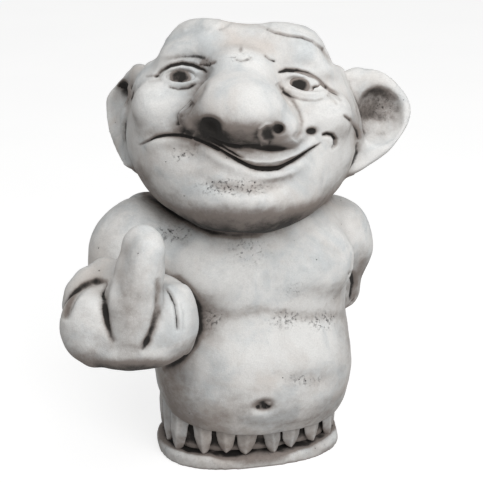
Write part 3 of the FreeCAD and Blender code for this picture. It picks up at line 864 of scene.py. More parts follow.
def sculpt_hair(clay):
    """Carves locks that run down from the crown, and the two that show over the brow."""
    region = hair_region(clay)
    x, y, z = clay.local(HEAD_PLACE).T
    half_width, half_depth, crown_y, height = 63.0, 50.0, 3.0, 58.6
    across, deep = x / half_width, (y - crown_y) / half_depth
    around = np.arctan2(np.sign(deep) * np.abs(deep) ** 1.1, np.sign(across) * np.abs(across) ** 1.1)
    small = noise_at(clay, 9.0, (9, 2, 4))
    wave = noise_at(clay, 20.0, (3, 7, 1))
    turn = around + 0.12 * np.sin(3 * around) + 0.35 * z / height
    locks = np.abs(np.cos(9.0 * turn + wave * 0.25))
    strands = np.sin(54.0 * turn + small * 2.2 + wave * 3.0)
    grown = fade(np.hypot(x, y - crown_y), 2.0, 24.0)
    shown = fade(clay.facing, 0.05, 0.2) * (z > 20)
    relief = ((locks**0.5 - 0.72) * 2.0 * grown + strands * 0.30 * grown) * (1 - 0.8 * shown)
    clay.push((0.5 + relief) * region)
    mask = fade(clay.facing, -0.05, 0.2)
    clay.push(strokes(clay, FACE, [(RIGHT_LOCK, 3.4, 1.7), (LEFT_LOCK, 3.6, 1.0)], mask))
    cuts = [(RIGHT_LOCK_LINE, 0.8, -1.1), (CROWN_NOTCH, 1.0, -1.5)]
    cuts += [(RIGHT_STRAND, 0.7, -0.6), (LEFT_STRAND, 0.8, -0.6)]
    clay.push(strokes(clay, FACE, cuts, mask))


def soften_outlines(clay):
    """Smooths what the pressed outlines left rough, and the temple, the ear's bowl and the crown."""
    edge = near_lines(clay, FACE, SKULL_OUTLINES + [EAR_OUTLINE, EAR_TOP])
    relax(clay, 12, np.clip((44 - edge) / 16, 0, 1))
    relax(clay, 14, patch(clay, FACE, (235, 265), (135, 95)))
    relax(clay, 10, patch(clay, FACE, (1352, 490), (120, 105)) * (clay.facing > 0))
    relax(clay, 3, patch(clay, FACE, (720, 30), (400, 40)))


# Each eye's middle and iris on the sheet, and its lean in degrees, by the figure's own side
EYES = {"right": ((414, 322), (410, 322), 0.0), "left": ((1004, 360), (985, 364), 14.0)}
EYE_RADII = (13.0, 6.2, 7.2)
EYE_DEPTH = 4.0
# The opening of the lids and the iris's oval, in the sheet's units, and the cuts that draw iris and pupil
LID_OPENING, LID_REACH = (88, 42), 26
IRIS_OVAL = (1.25, 1.0)
IRIS_RADIUS, IRIS_CUT, IRIS_CUT_WIDTH = 4.6, 0.25, 0.6
PUPIL_RADIUS, PUPIL_CUT = 3.2, 0.7
# The radius of the painted shade in the iris
IRIS_SHADE_RADIUS = 4.3
# The notch at the outer corner of the left eye, and the painted shade in it
EYE_NOTCH = {"notch": ((1064, 378), (20, 13), -1.2)}
EYE_NOTCH_SHADE = {"notch": ((1064, 378), (24, 15), 0.9)}


class TROLL_OT_eyes(bpy.types.Operator):
    """Set the two eyes between their lids"""

    bl_idname = "troll.eyes"
    bl_label = "Eyes"

    def execute(self, context):
        head = Clay(bpy.data.objects["troll_head"])
        for side, (spot, iris, lean) in EYES.items():
            lids = (from_spot(head, FACE, spot) < LID_REACH) & (head.facing > 0.2)
            normal = Vector(head.normals[lids].mean(axis=0)).normalized()
            middle = Vector(head.points[lids].mean(axis=0)) - normal * EYE_DEPTH
            facing = normal.to_track_quat("-Y", "Z").to_matrix().to_4x4()
            leaning = Matrix.Rotation(math.radians(lean), 4, "Y")
            eye = lump((0, 0, 0), EYE_RADII, Matrix.Translation(middle) @ facing @ leaning)
            eye.name = eye.data.name = f"{side}_eye"
            knead(eye, voxel=0.00045, passes=3)
            clay = Clay(eye)
            mask = (clay.facing > 0.2) * 1.0
            away = from_spot(clay, FACE, iris, IRIS_OVAL) * FACE.millimetres(clay)
            ring = -IRIS_CUT * bump_at(away, IRIS_RADIUS, IRIS_CUT_WIDTH)
            pit = -PUPIL_CUT * np.exp(-((away / PUPIL_RADIUS) ** 4))
            notch = dabs(clay, FACE, EYE_NOTCH if side == "left" else {}, mask)
            clay.push((ring + pit) * mask + notch)
            edge = from_spot(clay, FACE, spot, LID_OPENING)
            # The iris and the edge under the lids get painted shade, mottled a little
            in_iris = np.exp(-((away / IRIS_SHADE_RADIUS) ** 6)) * mask
            painted_light_and_stain = (1.54 + 0.4 * noise_at(clay, 2.6, (2, 2, 2))) * in_iris
            painted_light_and_stain += 0.9 * fade(edge, 0.78, 0.2) + 0.3 * np.clip(noise_at(clay, 4.0, (5, 1, 2)), 0, 1)
            painted_light_and_stain += dabs(clay, FACE, EYE_NOTCH_SHADE if side == "left" else {}, mask)
            mark_hollows(clay, painted_light_and_stain=painted_light_and_stain)
            finish_piece(eye, f"{side}_eyeball")
        return {"FINISHED"}


# The body, drawn on a sheet over the picture's lower part
BODY_SHEET = Sheet(60, 180, 4.6)
CHEST_CREASE = [(650, 612), (740, 622), (830, 618), (930, 602), (1060, 618), (1150, 632), (1240, 622)]
CHEST_CREASE += [(1330, 640)]
BREASTBONE = [(960, 290), (972, 400), (985, 520), (990, 590)]
BELLY_LINE = [(1022, 650), (1014, 800), (1004, 930)]
ARM_CREASE = [(1338, 420), (1350, 480), (1340, 560), (1325, 620)]
ARM_SHADE = [(1400, 290), (1390, 400), (1375, 500), (1350, 600)]
FIST_SHADOW = [(480, 452), (545, 455), (600, 510), (640, 590), (645, 690), (620, 760), (560, 825), (470, 870)]
CHIN_SHADOW = [(360, 46), (480, 116), (600, 192), (700, 238), (800, 252), (900, 242), (1050, 178)]
CHIN_SHADOW += [(1150, 127), (1260, 69)]
COLLAR_LINES = [[(470, 205), (580, 235), (680, 290)], [(1050, 230), (1150, 190), (1240, 150)]]
# Clay over the joint of the left arm, in the view's frame
SHOULDER_LUMPS = {
    "shoulder": ((-52, -48, 131), (23, 24, 15.5)),
    "outer side": ((-66, -50, 122), (20, 22, 17)),
    "beside the neck": ((-42, -46, 136), (18, 20, 14)),
}
BODY_FORMS = {
    "left breast": ((770, 460), (170, 110), 1.2),
    "right breast": ((1170, 450), (140, 110), 1.2),
    "belly": ((930, 880), (330, 220), 1.6),
}
OUTER_ARM = {"left arm": ((130, 330), (70, 190), 2.2)}
SHOULDER_TOP = {"left shoulder": ((345, 62), (120, 66), 3.6)}
CHEST_LINES = [
    (CHEST_CREASE, 3.6, -0.5),
    (BREASTBONE, 6.0, -0.5),
    (BELLY_LINE, 4.5, -0.6),
    (ARM_CREASE, 1.6, -1.8),
]
CHEST_LINES += [(line, 3.5, 0.8) for line in COLLAR_LINES]
NAVEL = {
    "hollow": ((932, 1040), (42, 24), -2.0, 2.4, -14),
    "knot": ((958, 1034), (13, 9), 1.3),
    "pit beside the knot": ((912, 1056), (14, 9), -1.2),
}
BODY_PITS = {
    "left of the chest crease": ((700, 640), (80, 60), 0.6),
    "middle of the chest crease": ((1040, 640), (100, 50), 0.62),
    "right of the chest crease": ((1215, 650), (60, 50), 0.7),
    "collar": ((520, 240), (110, 60), 0.7),
    "breastbone": ((860, 320), (130, 100), 0.5),
    "right breast": ((1080, 500), (110, 60), 0.35),
    "belly": ((1130, 920), (120, 40), 0.5),
}
# Painted shade that stays on the stone that faces the camera, and painted shade and painted light that run
# round the sides
FRONT_PAINTED_SHADE = {
    "under the fist": ((500, 960), (110, 190), 0.55),
    "navel": ((935, 1042), (44, 26), 0.9),
}
FRONT_PAINTED_SHADE_LINES = [
    (FIST_SHADOW, 2.0, 1.1),
    (FIST_SHADOW, 6.0, 0.3),
    (ARM_SHADE, 3.5, 0.5, 0.6),
    (CHEST_CREASE, 3.6, 0.3),
]
SIDE_PAINTED_LIGHT_AND_SHADE = {
    "left of the belly": ((620, 1110), (170, 60), 0.25),
    "beside the fist": ((700, 690), (70, 90), 0.35),
    "inside the right arm": ((1330, 680), (60, 180), 0.35),
    "right of the belly": ((1150, 900), (180, 60), 0.2),
    "painted light on the chest": ((900, 430), (330, 150), -0.26),
    "painted light on the shoulder": ((230, 210), (150, 130), -0.3),
    "painted light low on the belly": ((930, 1130), (180, 50), -0.15),
}
SIDE_PAINTED_SHADE_LINES = [(CHIN_SHADOW, 2.2, 1.3), (CHIN_SHADOW, 6.0, 0.2)]


class TROLL_OT_body(bpy.types.Operator):
    """Sculpt the torso with its arms and the hand behind the back"""

    bl_idname = "troll.body"
    bl_label = "Body and arms"

    def execute(self, context):
        nodes = ("torso", "right_upper_arm", "right_forearm", "left_upper_arm", "left_forearm", "left_hand")
        rough = rough_form("troll_body", nodes, SHOULDER_LUMPS, VIEW_PLACE, voxel=0.0017, passes=14)
        clay = Clay(rough)
        shoulder = patch(clay, BODY_SHEET, (430, 200), (190, 190), 2) * (clay.facing > 0)
        relax(clay, 60, np.clip(shoulder * 1.6, 0, 1))
        relax(clay, 110, patch(clay, BODY_SHEET, (1000, 480), (400, 200)) * (clay.facing > 0))
        clay = fine_form(rough, settings("troll_sculpt").body_voxel)
        sculpt_body(clay)
        sculpt_back(clay)
        mask = skin_mask(clay)
        # Painted shade and painted light on the body
        painted_light_and_stain = dabs(clay, BODY_SHEET, FRONT_PAINTED_SHADE, mask)
        painted_light_and_stain += strokes(clay, BODY_SHEET, FRONT_PAINTED_SHADE_LINES, mask)
        painted_light_and_stain += dabs(clay, BODY_SHEET, SIDE_PAINTED_LIGHT_AND_SHADE) + strokes(clay, BODY_SHEET, SIDE_PAINTED_SHADE_LINES)
        mark_hollows(clay, dabs(clay, BODY_SHEET, BODY_PITS, mask), painted_light_and_stain * fade(clay.facing, -0.3, 0.3))
        finish_piece(clay.obj, *nodes)
        return {"FINISHED"}


def sculpt_body(clay):
    """Chest, belly and navel."""
    mask = skin_mask(clay)
    field = dabs(clay, BODY_SHEET, BODY_FORMS, mask) + dabs(clay, BODY_SHEET, OUTER_ARM)
    clay.push(field + unevenness(clay, "body"))
    clay.push(strokes(clay, BODY_SHEET, CHEST_LINES, mask) + dabs(clay, BODY_SHEET, SHOULDER_TOP))
    near_navel = from_spot(clay, BODY_SHEET, (935, 1040)) < 95
    near_crease = near_lines(clay, BODY_SHEET, [CHEST_CREASE]) < 60
    refine(clay, (near_navel | near_crease) & (clay.facing > 0.1))
    clay.push(dabs(clay, BODY_SHEET, NAVEL, skin_mask(clay)))


def sculpt_back(clay):
    """The spine, the shoulder blades and the seat's cleft, which the picture does not show."""
    x, y, z = clay.points.T
    middle = -2
    behind = np.clip(clay.normals[:, 1] / 0.4, 0, 1)
    spine = -1.6 * bump_at(x, middle, 5.0) * fade(z, 45, 20) * fade(150 - z, 0, 20)
    blades = sum(1.5 * bump_at(x, middle + side * 24, 11) * bump_at(z, 122, 15) for side in (-1, 1))
    cleft = -1.2 * bump_at(x, middle, 3.0) * bump_at(z, 38, 9)
    clay.push((spine + blades + cleft) * behind)


FINGER_LEFT_EDGE = [(232, 455), (205, 520), (205, 590), (215, 660), (232, 720), (250, 750)]
FINGER_RIGHT_EDGE = [(448, 450), (455, 520), (450, 600), (430, 680), (405, 740), (375, 790)]
RING_FINGER_EDGE = [(478, 490), (505, 520), (528, 570), (538, 630), (541, 700)]
LITTLE_FINGER_EDGE = [(560, 560), (574, 620), (570, 700)]
RIM_CREASE = [(222, 468), (170, 462), (108, 480), (60, 530), (34, 590), (20, 645)]

# Clay pressed between the fingers makes one round fist of them, in the view's frame
HAND_LUMPS = {
    "fist": ((-60, -124, 77), (34.5, 21.5, 23)),
    "outer side": ((-81, -128, 78), (15.5, 17.5, 20)),
    "knuckles": ((-78, -120, 90), (15, 13, 12)),
    "heel": ((-60, -126, 66), (27, 18, 12)),
    "finger's tip": ((-52.9, -143.5, 117), (11.0, 8.4, 11.8)),
    "finger's middle": ((-54.3, -143, 105), (12.8, 9, 15)),
    "finger's root": ((-57.5, -142, 92), (15, 10, 15)),
    "inner side": ((-40, -125, 79), (13.5, 17, 20)),
}
# The rim of the fist: the points and the radii of a roll
FIST_RIM = (
    [(-66, -116, 106), (-76, -117, 105), (-85, -118, 102), (-91, -119, 95), (-93, -119, 86), (-91, -119, 78)],
    [5, 5, 5, 4.8, 4.6, 3.5],
)
# Painted shade on the outer side and the underside of the fist, and beside the nail
FIST_PAINTED_SHADE = {
    "outer side of the fist": ((110, 600), (90, 120), 0.16),
    "underside of the fist": ((290, 870), (260, 36), 0.7),
    "nail's side": ((330, 560), (90, 190), 0.3),
}


class TROLL_OT_hand(bpy.types.Operator):
    """Sculpt the raised hand and its fingers"""

    bl_idname = "troll.hand"
    bl_label = "Raised hand"

    def execute(self, context):
        nodes = ("palm", "thumb", "index_finger", "middle_finger", "ring_finger", "little_finger")
        rough = rough_form(
            "raised_hand", nodes, HAND_LUMPS, VIEW_PLACE, voxel=0.0010, passes=40, rim=FIST_RIM
        )
        clay = fine_form(rough, settings("troll_sculpt").hand_voxel)
        clay.push(unevenness(clay, "hand"))
        mask = fade(clay.facing, -0.05, 0.3)
        rim = rounded(RIM_CREASE)
        edges = [(FINGER_LEFT_EDGE, 1.6, -1.5, 0.3), (FINGER_RIGHT_EDGE, 1.6, -1.6, 0.3)]
        clay.push(strokes(clay, BODY_SHEET, edges, mask) + stroke(clay, BODY_SHEET, rim, 2.0, -2.3, 0.2))
        mask = fade(clay.facing, -0.05, 0.3)
        folds = [(RING_FINGER_EDGE, 1.1, -1.2), (LITTLE_FINGER_EDGE, 0.9, -0.6)]
        dimple = dab(clay, BODY_SHEET, (400, 745), (16, 26), -0.9, lean=25, mask=mask)
        clay.push(strokes(clay, BODY_SHEET, folds, mask) + dimple)
        # Painted shade along the finger's edges, in the rim's crease and in the ring finger's fold
        edges = [(FINGER_RIGHT_EDGE, 2.0, 0.35), (FINGER_LEFT_EDGE, 1.6, 0.35)]
        painted_light_and_stain = 0.1 + dabs(clay, BODY_SHEET, FIST_PAINTED_SHADE) + strokes(clay, BODY_SHEET, edges, mask)
        painted_light_and_stain += strokes(clay, BODY_SHEET, [(rim, 1.6, 0.9), (RING_FINGER_EDGE, 1.2, 0.15)])
        mark_hollows(clay, painted_light_and_stain=painted_light_and_stain)
        finish_piece(clay.obj, *nodes)
        return {"FINISHED"}


def cast_leaf():
    """A leaf, 1 wide and 1 long, hanging from its top: a pointed blade with a midrib and curled edges."""
    bpy.ops.object.select_all(action="DESELECT")
    bpy.ops.mesh.primitive_grid_add(x_subdivisions=12, y_subdivisions=18, size=1)
    leaf = bpy.context.object
    standing_off, taper, rib_width = 0.22, 0.26, 0.2
    for vertex in leaf.data.vertices:
        across, down = vertex.co.x * 2, 0.5 - vertex.co.y
        width = 0.5 * (1 - taper * down) * max(0.0, 1 - down**4.5) ** 0.5
        rib = 0.16 * math.exp(-((across / rib_width) ** 2)) * (1 - 0.5 * down)
        curl = -0.30 * abs(across) ** 2.6
        belly = 0.10 * math.sin(math.pi * min(1.0, down * 1.1))
        vertex.co = Vector((across * width, -(standing_off + rib + curl + belly), -down))
    edit_all(leaf, bpy.ops.mesh.remove_doubles, threshold=0.004)
    edit_all(leaf, bpy.ops.mesh.normals_make_consistent, inside=False)
    apply_modifier(leaf, "SOLIDIFY", thickness=0.30, offset=-1.0)
    apply_modifier(leaf, "SUBSURF", levels=1, render_levels=1)
    return leaf


def loose_places(node):
    """The middle, the lowest and the highest point of each loose solid of a node."""
    places = []
    for piece in loose_parts(node_copy(node)):
        points = np.array([vertex.co for vertex in piece.data.vertices])
        places.append((points.mean(axis=0), points.min(axis=0), points.max(axis=0)))
        bpy.data.objects.remove(piece)
    return places


# The hips' radii to the side and to the front, where the leaves hang
HIP_RADII = (55.5, 38.0)
# A leaf's width and thickness in metres, and how much longer than its solid it is
LEAF_WIDTH, LEAF_DEPTH, LEAF_EXTRA = 0.0146, 0.0085, 0.0035
# How far over the top of its solid and how far off the hips a leaf starts
LEAF_RISE, LEAF_GAP = 0.0025, 0.0004


class TROLL_OT_skirt(bpy.types.Operator):
    """Hang the ring of leaves round the hips"""

    bl_idname = "troll.skirt"
    bl_label = "Leaf skirt"

    def execute(self, context):
        hips = joined([node_copy("hips")], "hips_core")
        knead(hips, voxel=0.0013, passes=3)
        clay = Clay(hips)
        clay.push(unevenness(clay, "hips"))
        # The hips show only in the gaps between the leaves, and get a near-black painted shade
        mark_hollows(clay, painted_light_and_stain=1.5 + 0.4 * noise_at(clay, 5.0, (4, 4, 4)))
        finish_piece(hips, "hips")
        model = cast_leaf()
        leaves = []
        for index, (middle, low, high) in enumerate(loose_places("leaves")):
            outward = Vector((middle[0] / HIP_RADII[0] ** 2, middle[1] / HIP_RADII[1] ** 2, 0)).normalized()
            leaf = model.copy()
            leaf.data = model.data.copy()
            context.collection.objects.link(leaf)
            # No two neighbours are alike in turn, width and length
            wobble = math.sin(index * 2.4)
            facing = outward.to_track_quat("-Y", "Z").to_matrix().to_4x4()
            turn = facing @ Matrix.Rotation(0.10 * wobble, 4, "Y")
            drop = high[2] - low[2] + LEAF_EXTRA + 0.0016 * math.cos(index * 1.7)
            size = Matrix.Diagonal((LEAF_WIDTH + 0.0012 * wobble, LEAF_DEPTH, drop, 1))
            top = Vector((middle[0], middle[1], high[2] + LEAF_RISE)) + outward * LEAF_GAP
            leaf.data.transform(Matrix.Translation(top) @ turn @ size)
            leaves.append(leaf)
        bpy.data.objects.remove(model)
        skirt = joined(leaves, "leaf_skirt")
        knead(skirt, voxel=0.00055, passes=2)
        clay = Clay(skirt)
        clay.push(unevenness(clay, "skirt"))
        foot = fade(22 - clay.points[:, 2], 0, 14)
        mark_hollows(clay, painted_light_and_stain=0.22 + 0.25 * foot)
        finish_piece(skirt, "leaves")
        return {"FINISHED"}


class TROLL_OT_plinth(bpy.types.Operator):
    """Make the low plinth with its worn rim"""

    bl_idname = "troll.plinth"
    bl_label = "Plinth"

    def execute(self, context):
        plinth = joined([node_copy("plinth")], "worn_plinth")
        knead(plinth, settings("troll_sculpt").base_voxel, passes=8)
        clay = Clay(plinth)
        above = fade(clay.points[:, 2], 1.5, 3)
        clay.push(unevenness(clay, "plinth") * above)
        # Painted shade and dirt lie thick under the leaves, and dirt lies thin on the open rim
        from_middle = np.hypot(clay.points[:, 0] / HIP_RADII[0], clay.points[:, 1] / HIP_RADII[1])
        mark_hollows(clay, 0.3 * above, 0.44 + fade(1.02 - from_middle, 0, 0.05) * above)
        finish_piece(plinth, "plinth")
        return {"FINISHED"}


def sky_rays(count):
    """Rays spread evenly over the sky and a little below level, and the weight of each."""
    golden_angle, depth_of_sky = 2.399963, 1.45
    rays = []
    for index in range(count):
        height = 1 - depth_of_sky * (index + 0.5) / count
        angle = index * golden_angle
        radius = math.sqrt(max(0, 1 - height * height))
        rays.append(Vector((radius * math.cos(angle), radius * math.sin(angle), height)))
    return rays, [0.3 + max(0.0, ray.z) for ray in rays]


class TROLL_OT_sky_shade(bpy.types.Operator):
    """Paint the shade that the sky leaves on sheltered stone, with its weathering"""

    bl_idname = "troll.weather"
    bl_label = "Sky shade"

    def execute(self, context):
        sculpt = settings("troll_sculpt")
        lift, grazing, brightness = 0.0009, 0.08, 1.1
        meshes = [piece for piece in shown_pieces() if piece.type == "MESH"]
        pieces = [piece for piece in meshes if "hollow" in piece.data.attributes]
        points, faces = [], []
        for piece in pieces:
            first = len(points)
            points.extend(vertex.co.copy() for vertex in piece.data.vertices)
            faces.extend([first + index for index in face.vertices] for face in piece.data.polygons)
        tree = BVHTree.FromPolygons(points, faces)
        rays, weights = sky_rays(sculpt.rays * 2)
        whole = sum(weight * max(0.0, ray.z) for weight, ray in zip(weights, rays))
        for piece in pieces:
            shelter = np.empty(len(piece.data.vertices))
            for index, vertex in enumerate(piece.data.vertices):
                normal = vertex.normal
                start = vertex.co + normal * lift
                light = 0.0
                for ray, weight in zip(rays, weights):
                    toward = normal.dot(ray)
                    if toward > grazing and tree.ray_cast(start, ray, sculpt.reach)[0] is None:
                        light += weight * toward
                # The share of the sky's light that a point misses, later painted as shade
                shelter[index] = 1 - min(1.0, brightness * light / whole)
            set_points(piece, "shelter", spread(shelter, *ring_neighbours(piece.data), 3))
        return {"FINISHED"}


# The stone's settings, and the values that are painted on its points
STONE_COLOURS = ("Pale", "Cool", "Warm", "Shade_and_grime", "Black")
STONE_VALUES = ("Patch size", "Grain size", "Pore spacing", "Roughness")
PAINTED_VALUES = ("Hollow", "Valley", "Shelter", "Pitted", "Dirt")


def new_group(name, inputs, outputs):
    """A shader node group with named sockets, each given as its name and its kind."""
    group = bpy.data.node_groups.new(name, "ShaderNodeTree")
    for side, sockets in (("INPUT", inputs), ("OUTPUT", outputs)):
        for label, kind in sockets:
            group.interface.new_socket(label, in_out=side, socket_type=f"NodeSocket{kind}")
    return group, group.nodes.new("NodeGroupInput").outputs, group.nodes.new("NodeGroupOutput").inputs


def add_node(tree, kind, values=None, **fields):
    """Adds a node, sets its fields and links or fills its inputs."""
    node = tree.nodes.new(kind)
    for key, value in fields.items():
        setattr(node, key, value)
    for key, value in (values or {}).items():
        if isinstance(value, bpy.types.NodeSocket):
            tree.links.new(value, node.inputs[key])
        else:
            node.inputs[key].default_value = value
    return node


def math_node(tree, operation, first, second, clamp=False):
    """The result of a sum on two values."""
    values = {0: first, 1: second}
    return add_node(tree, "ShaderNodeMath", values, operation=operation, use_clamp=clamp).outputs[0]


def times(tree, first, second):
    """The product of two values."""
    return math_node(tree, "MULTIPLY", first, second)


def weighted(tree, base, *terms):
    """A value plus other values, each times its weight."""
    for value, weight in terms:
        base = math_node(tree, "ADD", base, times(tree, value, weight))
    return base


def ramp(tree, value, low, high, start=0.0, end=1.0):
    """A value eased from one range to another."""
    values = {"Value": value, "From Min": low, "From Max": high, "To Min": start, "To Max": end}
    return add_node(tree, "ShaderNodeMapRange", values, interpolation_type="SMOOTHSTEP").outputs["Result"]


def noise_node(tree, place, scale, detail, roughness, distortion=0.0):
    """A cloud of noise."""
    values = {"Vector": place, "Scale": scale, "Detail": detail, "Roughness": roughness}
    return add_node(tree, "ShaderNodeTexNoise", {**values, "Distortion": distortion}).outputs["Fac"]


def mix_colours(tree, share, first, second, blend="MIX"):
    """Two colours mixed by a share."""
    values = {"Factor": share, 6: first, 7: second}
    return add_node(tree, "ShaderNodeMix", values, data_type="RGBA", blend_type=blend).outputs[2]


def moved(tree, place, offset):
    """A place shifted, so that two patterns do not run together."""
    return add_node(tree, "ShaderNodeMapping", {"Vector": place, "Location": offset}).outputs["Vector"]


def object_place(tree):
    """Each point's place on its own piece."""
    return add_node(tree, "ShaderNodeTexCoord").outputs["Object"]


def cast_stone_group():
    """Cast stone: clouds, sand grain, air pores, washed edges, and painted shade with weathering where it is
    sheltered, faces down or lies in creases.
    """
    inputs = [(label, "Color") for label in STONE_COLOURS]
    inputs += [(label, "Float") for label in STONE_VALUES + PAINTED_VALUES]
    inputs.append(("Place", "Vector"))
    outputs = [("Color", "Color"), ("Roughness", "Float"), ("Height", "Float")]
    group, given, result = new_group("Cast stone with wear and painted shade", inputs, outputs)
    place = given["Place"]
    patch_scale = math_node(group, "DIVIDE", 1.0, given["Patch size"])
    grain_scale = math_node(group, "DIVIDE", 1.0, given["Grain size"])
    pore_scale = math_node(group, "DIVIDE", 1.0, given["Pore spacing"])
    cool_clouds = noise_node(group, place, patch_scale, 5, 0.6, 0.6)
    warm_place = moved(group, place, (3.1, 1.7, 0.4))
    warm_clouds = noise_node(group, warm_place, times(group, patch_scale, 0.62), 4, 0.55, 0.4)
    mottle_place = moved(group, place, (1.3, 4.2, 2.2))
    mottle = noise_node(group, mottle_place, times(group, patch_scale, 5.5), 5, 0.7)
    grain = noise_node(group, place, grain_scale, 3, 0.7)
    # The dry face of the stone
    colour = mix_colours(group, ramp(group, cool_clouds, 0.42, 0.66), given["Pale"], given["Cool"])
    colour = mix_colours(group, ramp(group, warm_clouds, 0.47, 0.72), colour, given["Warm"])
    value = weighted(group, 0.62, (grain, 0.34), (mottle, 0.42))
    dusted = add_node(group, "ShaderNodeCombineColor", {0: value, 1: value, 2: value}).outputs[0]
    colour = mix_colours(group, 1.0, colour, dusted, "MULTIPLY")
    # Worn edges stay pale
    edges = ramp(group, given["Hollow"], -0.25, -0.9)
    colour = mix_colours(group, times(group, edges, 0.35), colour, given["Pale"])
    # Painted shade, with grime, where the stone is sheltered, lies in valleys or faces down
    uneven = times(group, math_node(group, "SUBTRACT", mottle, 0.5), 0.85)
    shade_and_grime_amount = weighted(group, uneven, (given["Shelter"], 0.6), (given["Valley"], 0.34), (given["Dirt"], 1.0))
    colour = mix_colours(group, ramp(group, shade_and_grime_amount, 0.06, 1.05, 0.0, 0.92), colour, given["Shade_and_grime"])
    # Painted shade, black deep in the creases, with some grime
    crease = weighted(group, given["Hollow"], (given["Valley"], 0.45), (given["Shelter"], 0.30))
    crease = weighted(group, crease, (uneven, 0.8), (given["Dirt"], 0.75))
    colour = mix_colours(group, ramp(group, crease, 0.55, 1.25, 0.0, 0.96), colour, given["Black"])
    # Air pores, thick where the casting is pitted, painted black for the shade in them
    cells = add_node(group, "ShaderNodeTexVoronoi", {"Vector": place, "Scale": pore_scale, "Randomness": 1.0})
    chance = add_node(group, "ShaderNodeSeparateColor", {0: cells.outputs["Color"]}).outputs[0]
    wanted = weighted(group, ramp(group, warm_clouds, 0.4, 0.75, 0.02, 0.2), (given["Pitted"], 0.75))
    present = math_node(group, "LESS_THAN", chance, wanted)
    width = weighted(group, 0.10, (chance, 0.2))
    from_middle = math_node(group, "DIVIDE", cells.outputs["Distance"], width)
    hole = math_node(group, "SUBTRACT", 1.0, from_middle, clamp=True)
    hole = times(group, ramp(group, hole, 0.0, 0.7), present)
    # Crumbled stone between the pores, painted black for the shade in its pits
    crumbs = noise_node(group, moved(group, place, (5, 2, 8)), times(group, pore_scale, 2.2), 4, 0.7)
    crumbs = times(group, ramp(group, crumbs, 0.53, 0.66), ramp(group, given["Pitted"], 0.1, 0.8))
    hole = math_node(group, "MAXIMUM", hole, crumbs)
    colour = mix_colours(group, times(group, hole, 0.86), colour, given["Black"])
    sandy = times(group, math_node(group, "SUBTRACT", grain, 0.5), 0.12)
    rough = math_node(group, "ADD", given["Roughness"], sandy, clamp=True)
    height = weighted(group, 0.0, (grain, 0.00022), (mottle, 0.0006), (hole, -0.0007))
    for label, value in (("Color", colour), ("Roughness", rough), ("Height", height)):
        group.links.new(value, result[label])
    return group


def new_material(name):
    """A new material with its node tree and its main shader."""
    material = bpy.data.materials.new(name)
    material.use_nodes = True
    return material, material.node_tree, material.node_tree.nodes["Principled BSDF"].inputs


def stone_material():
    """The one material of all the stone."""
    existing = bpy.data.materials.get("Cast stone")
    if existing:
        return existing
    look = settings("troll_stone")
    material, tree, shader = new_material("Cast stone")
    stone = add_node(tree, "ShaderNodeGroup", node_tree=cast_stone_group())
    for label in STONE_COLOURS:
        stone.inputs[label].default_value = (*getattr(look, label.lower()), 1)
    for label in STONE_VALUES:
        stone.inputs[label].default_value = getattr(look, label.lower().replace(" ", "_"))
    for label in PAINTED_VALUES:
        fields = {"attribute_name": label.lower(), "attribute_type": "GEOMETRY"}
        painted = add_node(tree, "ShaderNodeAttribute", **fields)
        tree.links.new(painted.outputs["Fac"], stone.inputs[label])
    tree.links.new(object_place(tree), stone.inputs["Place"])
    values = {"Height": stone.outputs["Height"], "Strength": 0.8, "Distance": 1.0}
    bump = add_node(tree, "ShaderNodeBump", values)
    tree.links.new(stone.outputs["Color"], shader["Base Color"])
    tree.links.new(stone.outputs["Roughness"], shader["Roughness"])
    tree.links.new(bump.outputs["Normal"], shader["Normal"])
    shader["Specular IOR Level"].default_value = 0.25
    return material


def steel_material():
    """Brushed reinforcing steel."""
    material, tree, shader = new_material("Brushed steel")
    place = object_place(tree)
    drawn = add_node(tree, "ShaderNodeMapping", {"Vector": place, "Scale": (1, 1, 0.06)}).outputs["Vector"]
    brushing = noise_node(tree, drawn, 2200.0, 3, 0.6)
    stains = noise_node(tree, place, 130.0, 4, 0.6)
    colour = mix_colours(tree, ramp(tree, stains, 0.5, 0.72), (0.50, 0.50, 0.51, 1), (0.27, 0.17, 0.11, 1))
    bump = add_node(tree, "ShaderNodeBump", {"Height": brushing, "Strength": 0.2, "Distance": 0.0002})
    tree.links.new(colour, shader["Base Color"])
    tree.links.new(ramp(tree, brushing, 0.3, 0.7, 0.30, 0.48), shader["Roughness"])
    tree.links.new(bump.outputs["Normal"], shader["Normal"])
    shader["Metallic"].default_value = 1.0
    return material


class TROLL_OT_steel(bpy.types.Operator):
    """Give the reinforcing steel its brushed finish"""

    bl_idname = "troll.steel"
    bl_label = "Steel"

    def execute(self, context):
        steel = steel_material()
        for node in STEEL_NODES:
            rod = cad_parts[node]
            rod.data.materials.clear()
            rod.data.materials.append(steel)
        return {"FINISHED"}


def backdrop_material():
    """Pale ground that reads white and keeps the shadow."""
    material, tree, _ = new_material("Pale ground")
    tree.nodes.clear()
    cloud = noise_node(tree, object_place(tree), 6.0, 3, 0.5)
    colour = mix_colours(tree, cloud, (0.44, 0.44, 0.44, 1), (0.48, 0.48, 0.475, 1))
    matt = add_node(tree, "ShaderNodeBsdfDiffuse", {"Color": colour})
    path = add_node(tree, "ShaderNodeLightPath").outputs
    seen = math_node(tree, "ADD", path["Is Camera Ray"], path["Is Glossy Ray"], clamp=True)
    glow = add_node(tree, "ShaderNodeEmission", {"Strength": math_node(tree, "MULTIPLY", seen, 0.72)})
    both = add_node(tree, "ShaderNodeAddShader", {0: matt.outputs[0], 1: glow.outputs[0]})
    add_node(tree, "ShaderNodeOutputMaterial", {"Surface": both.outputs[0]})
    return material


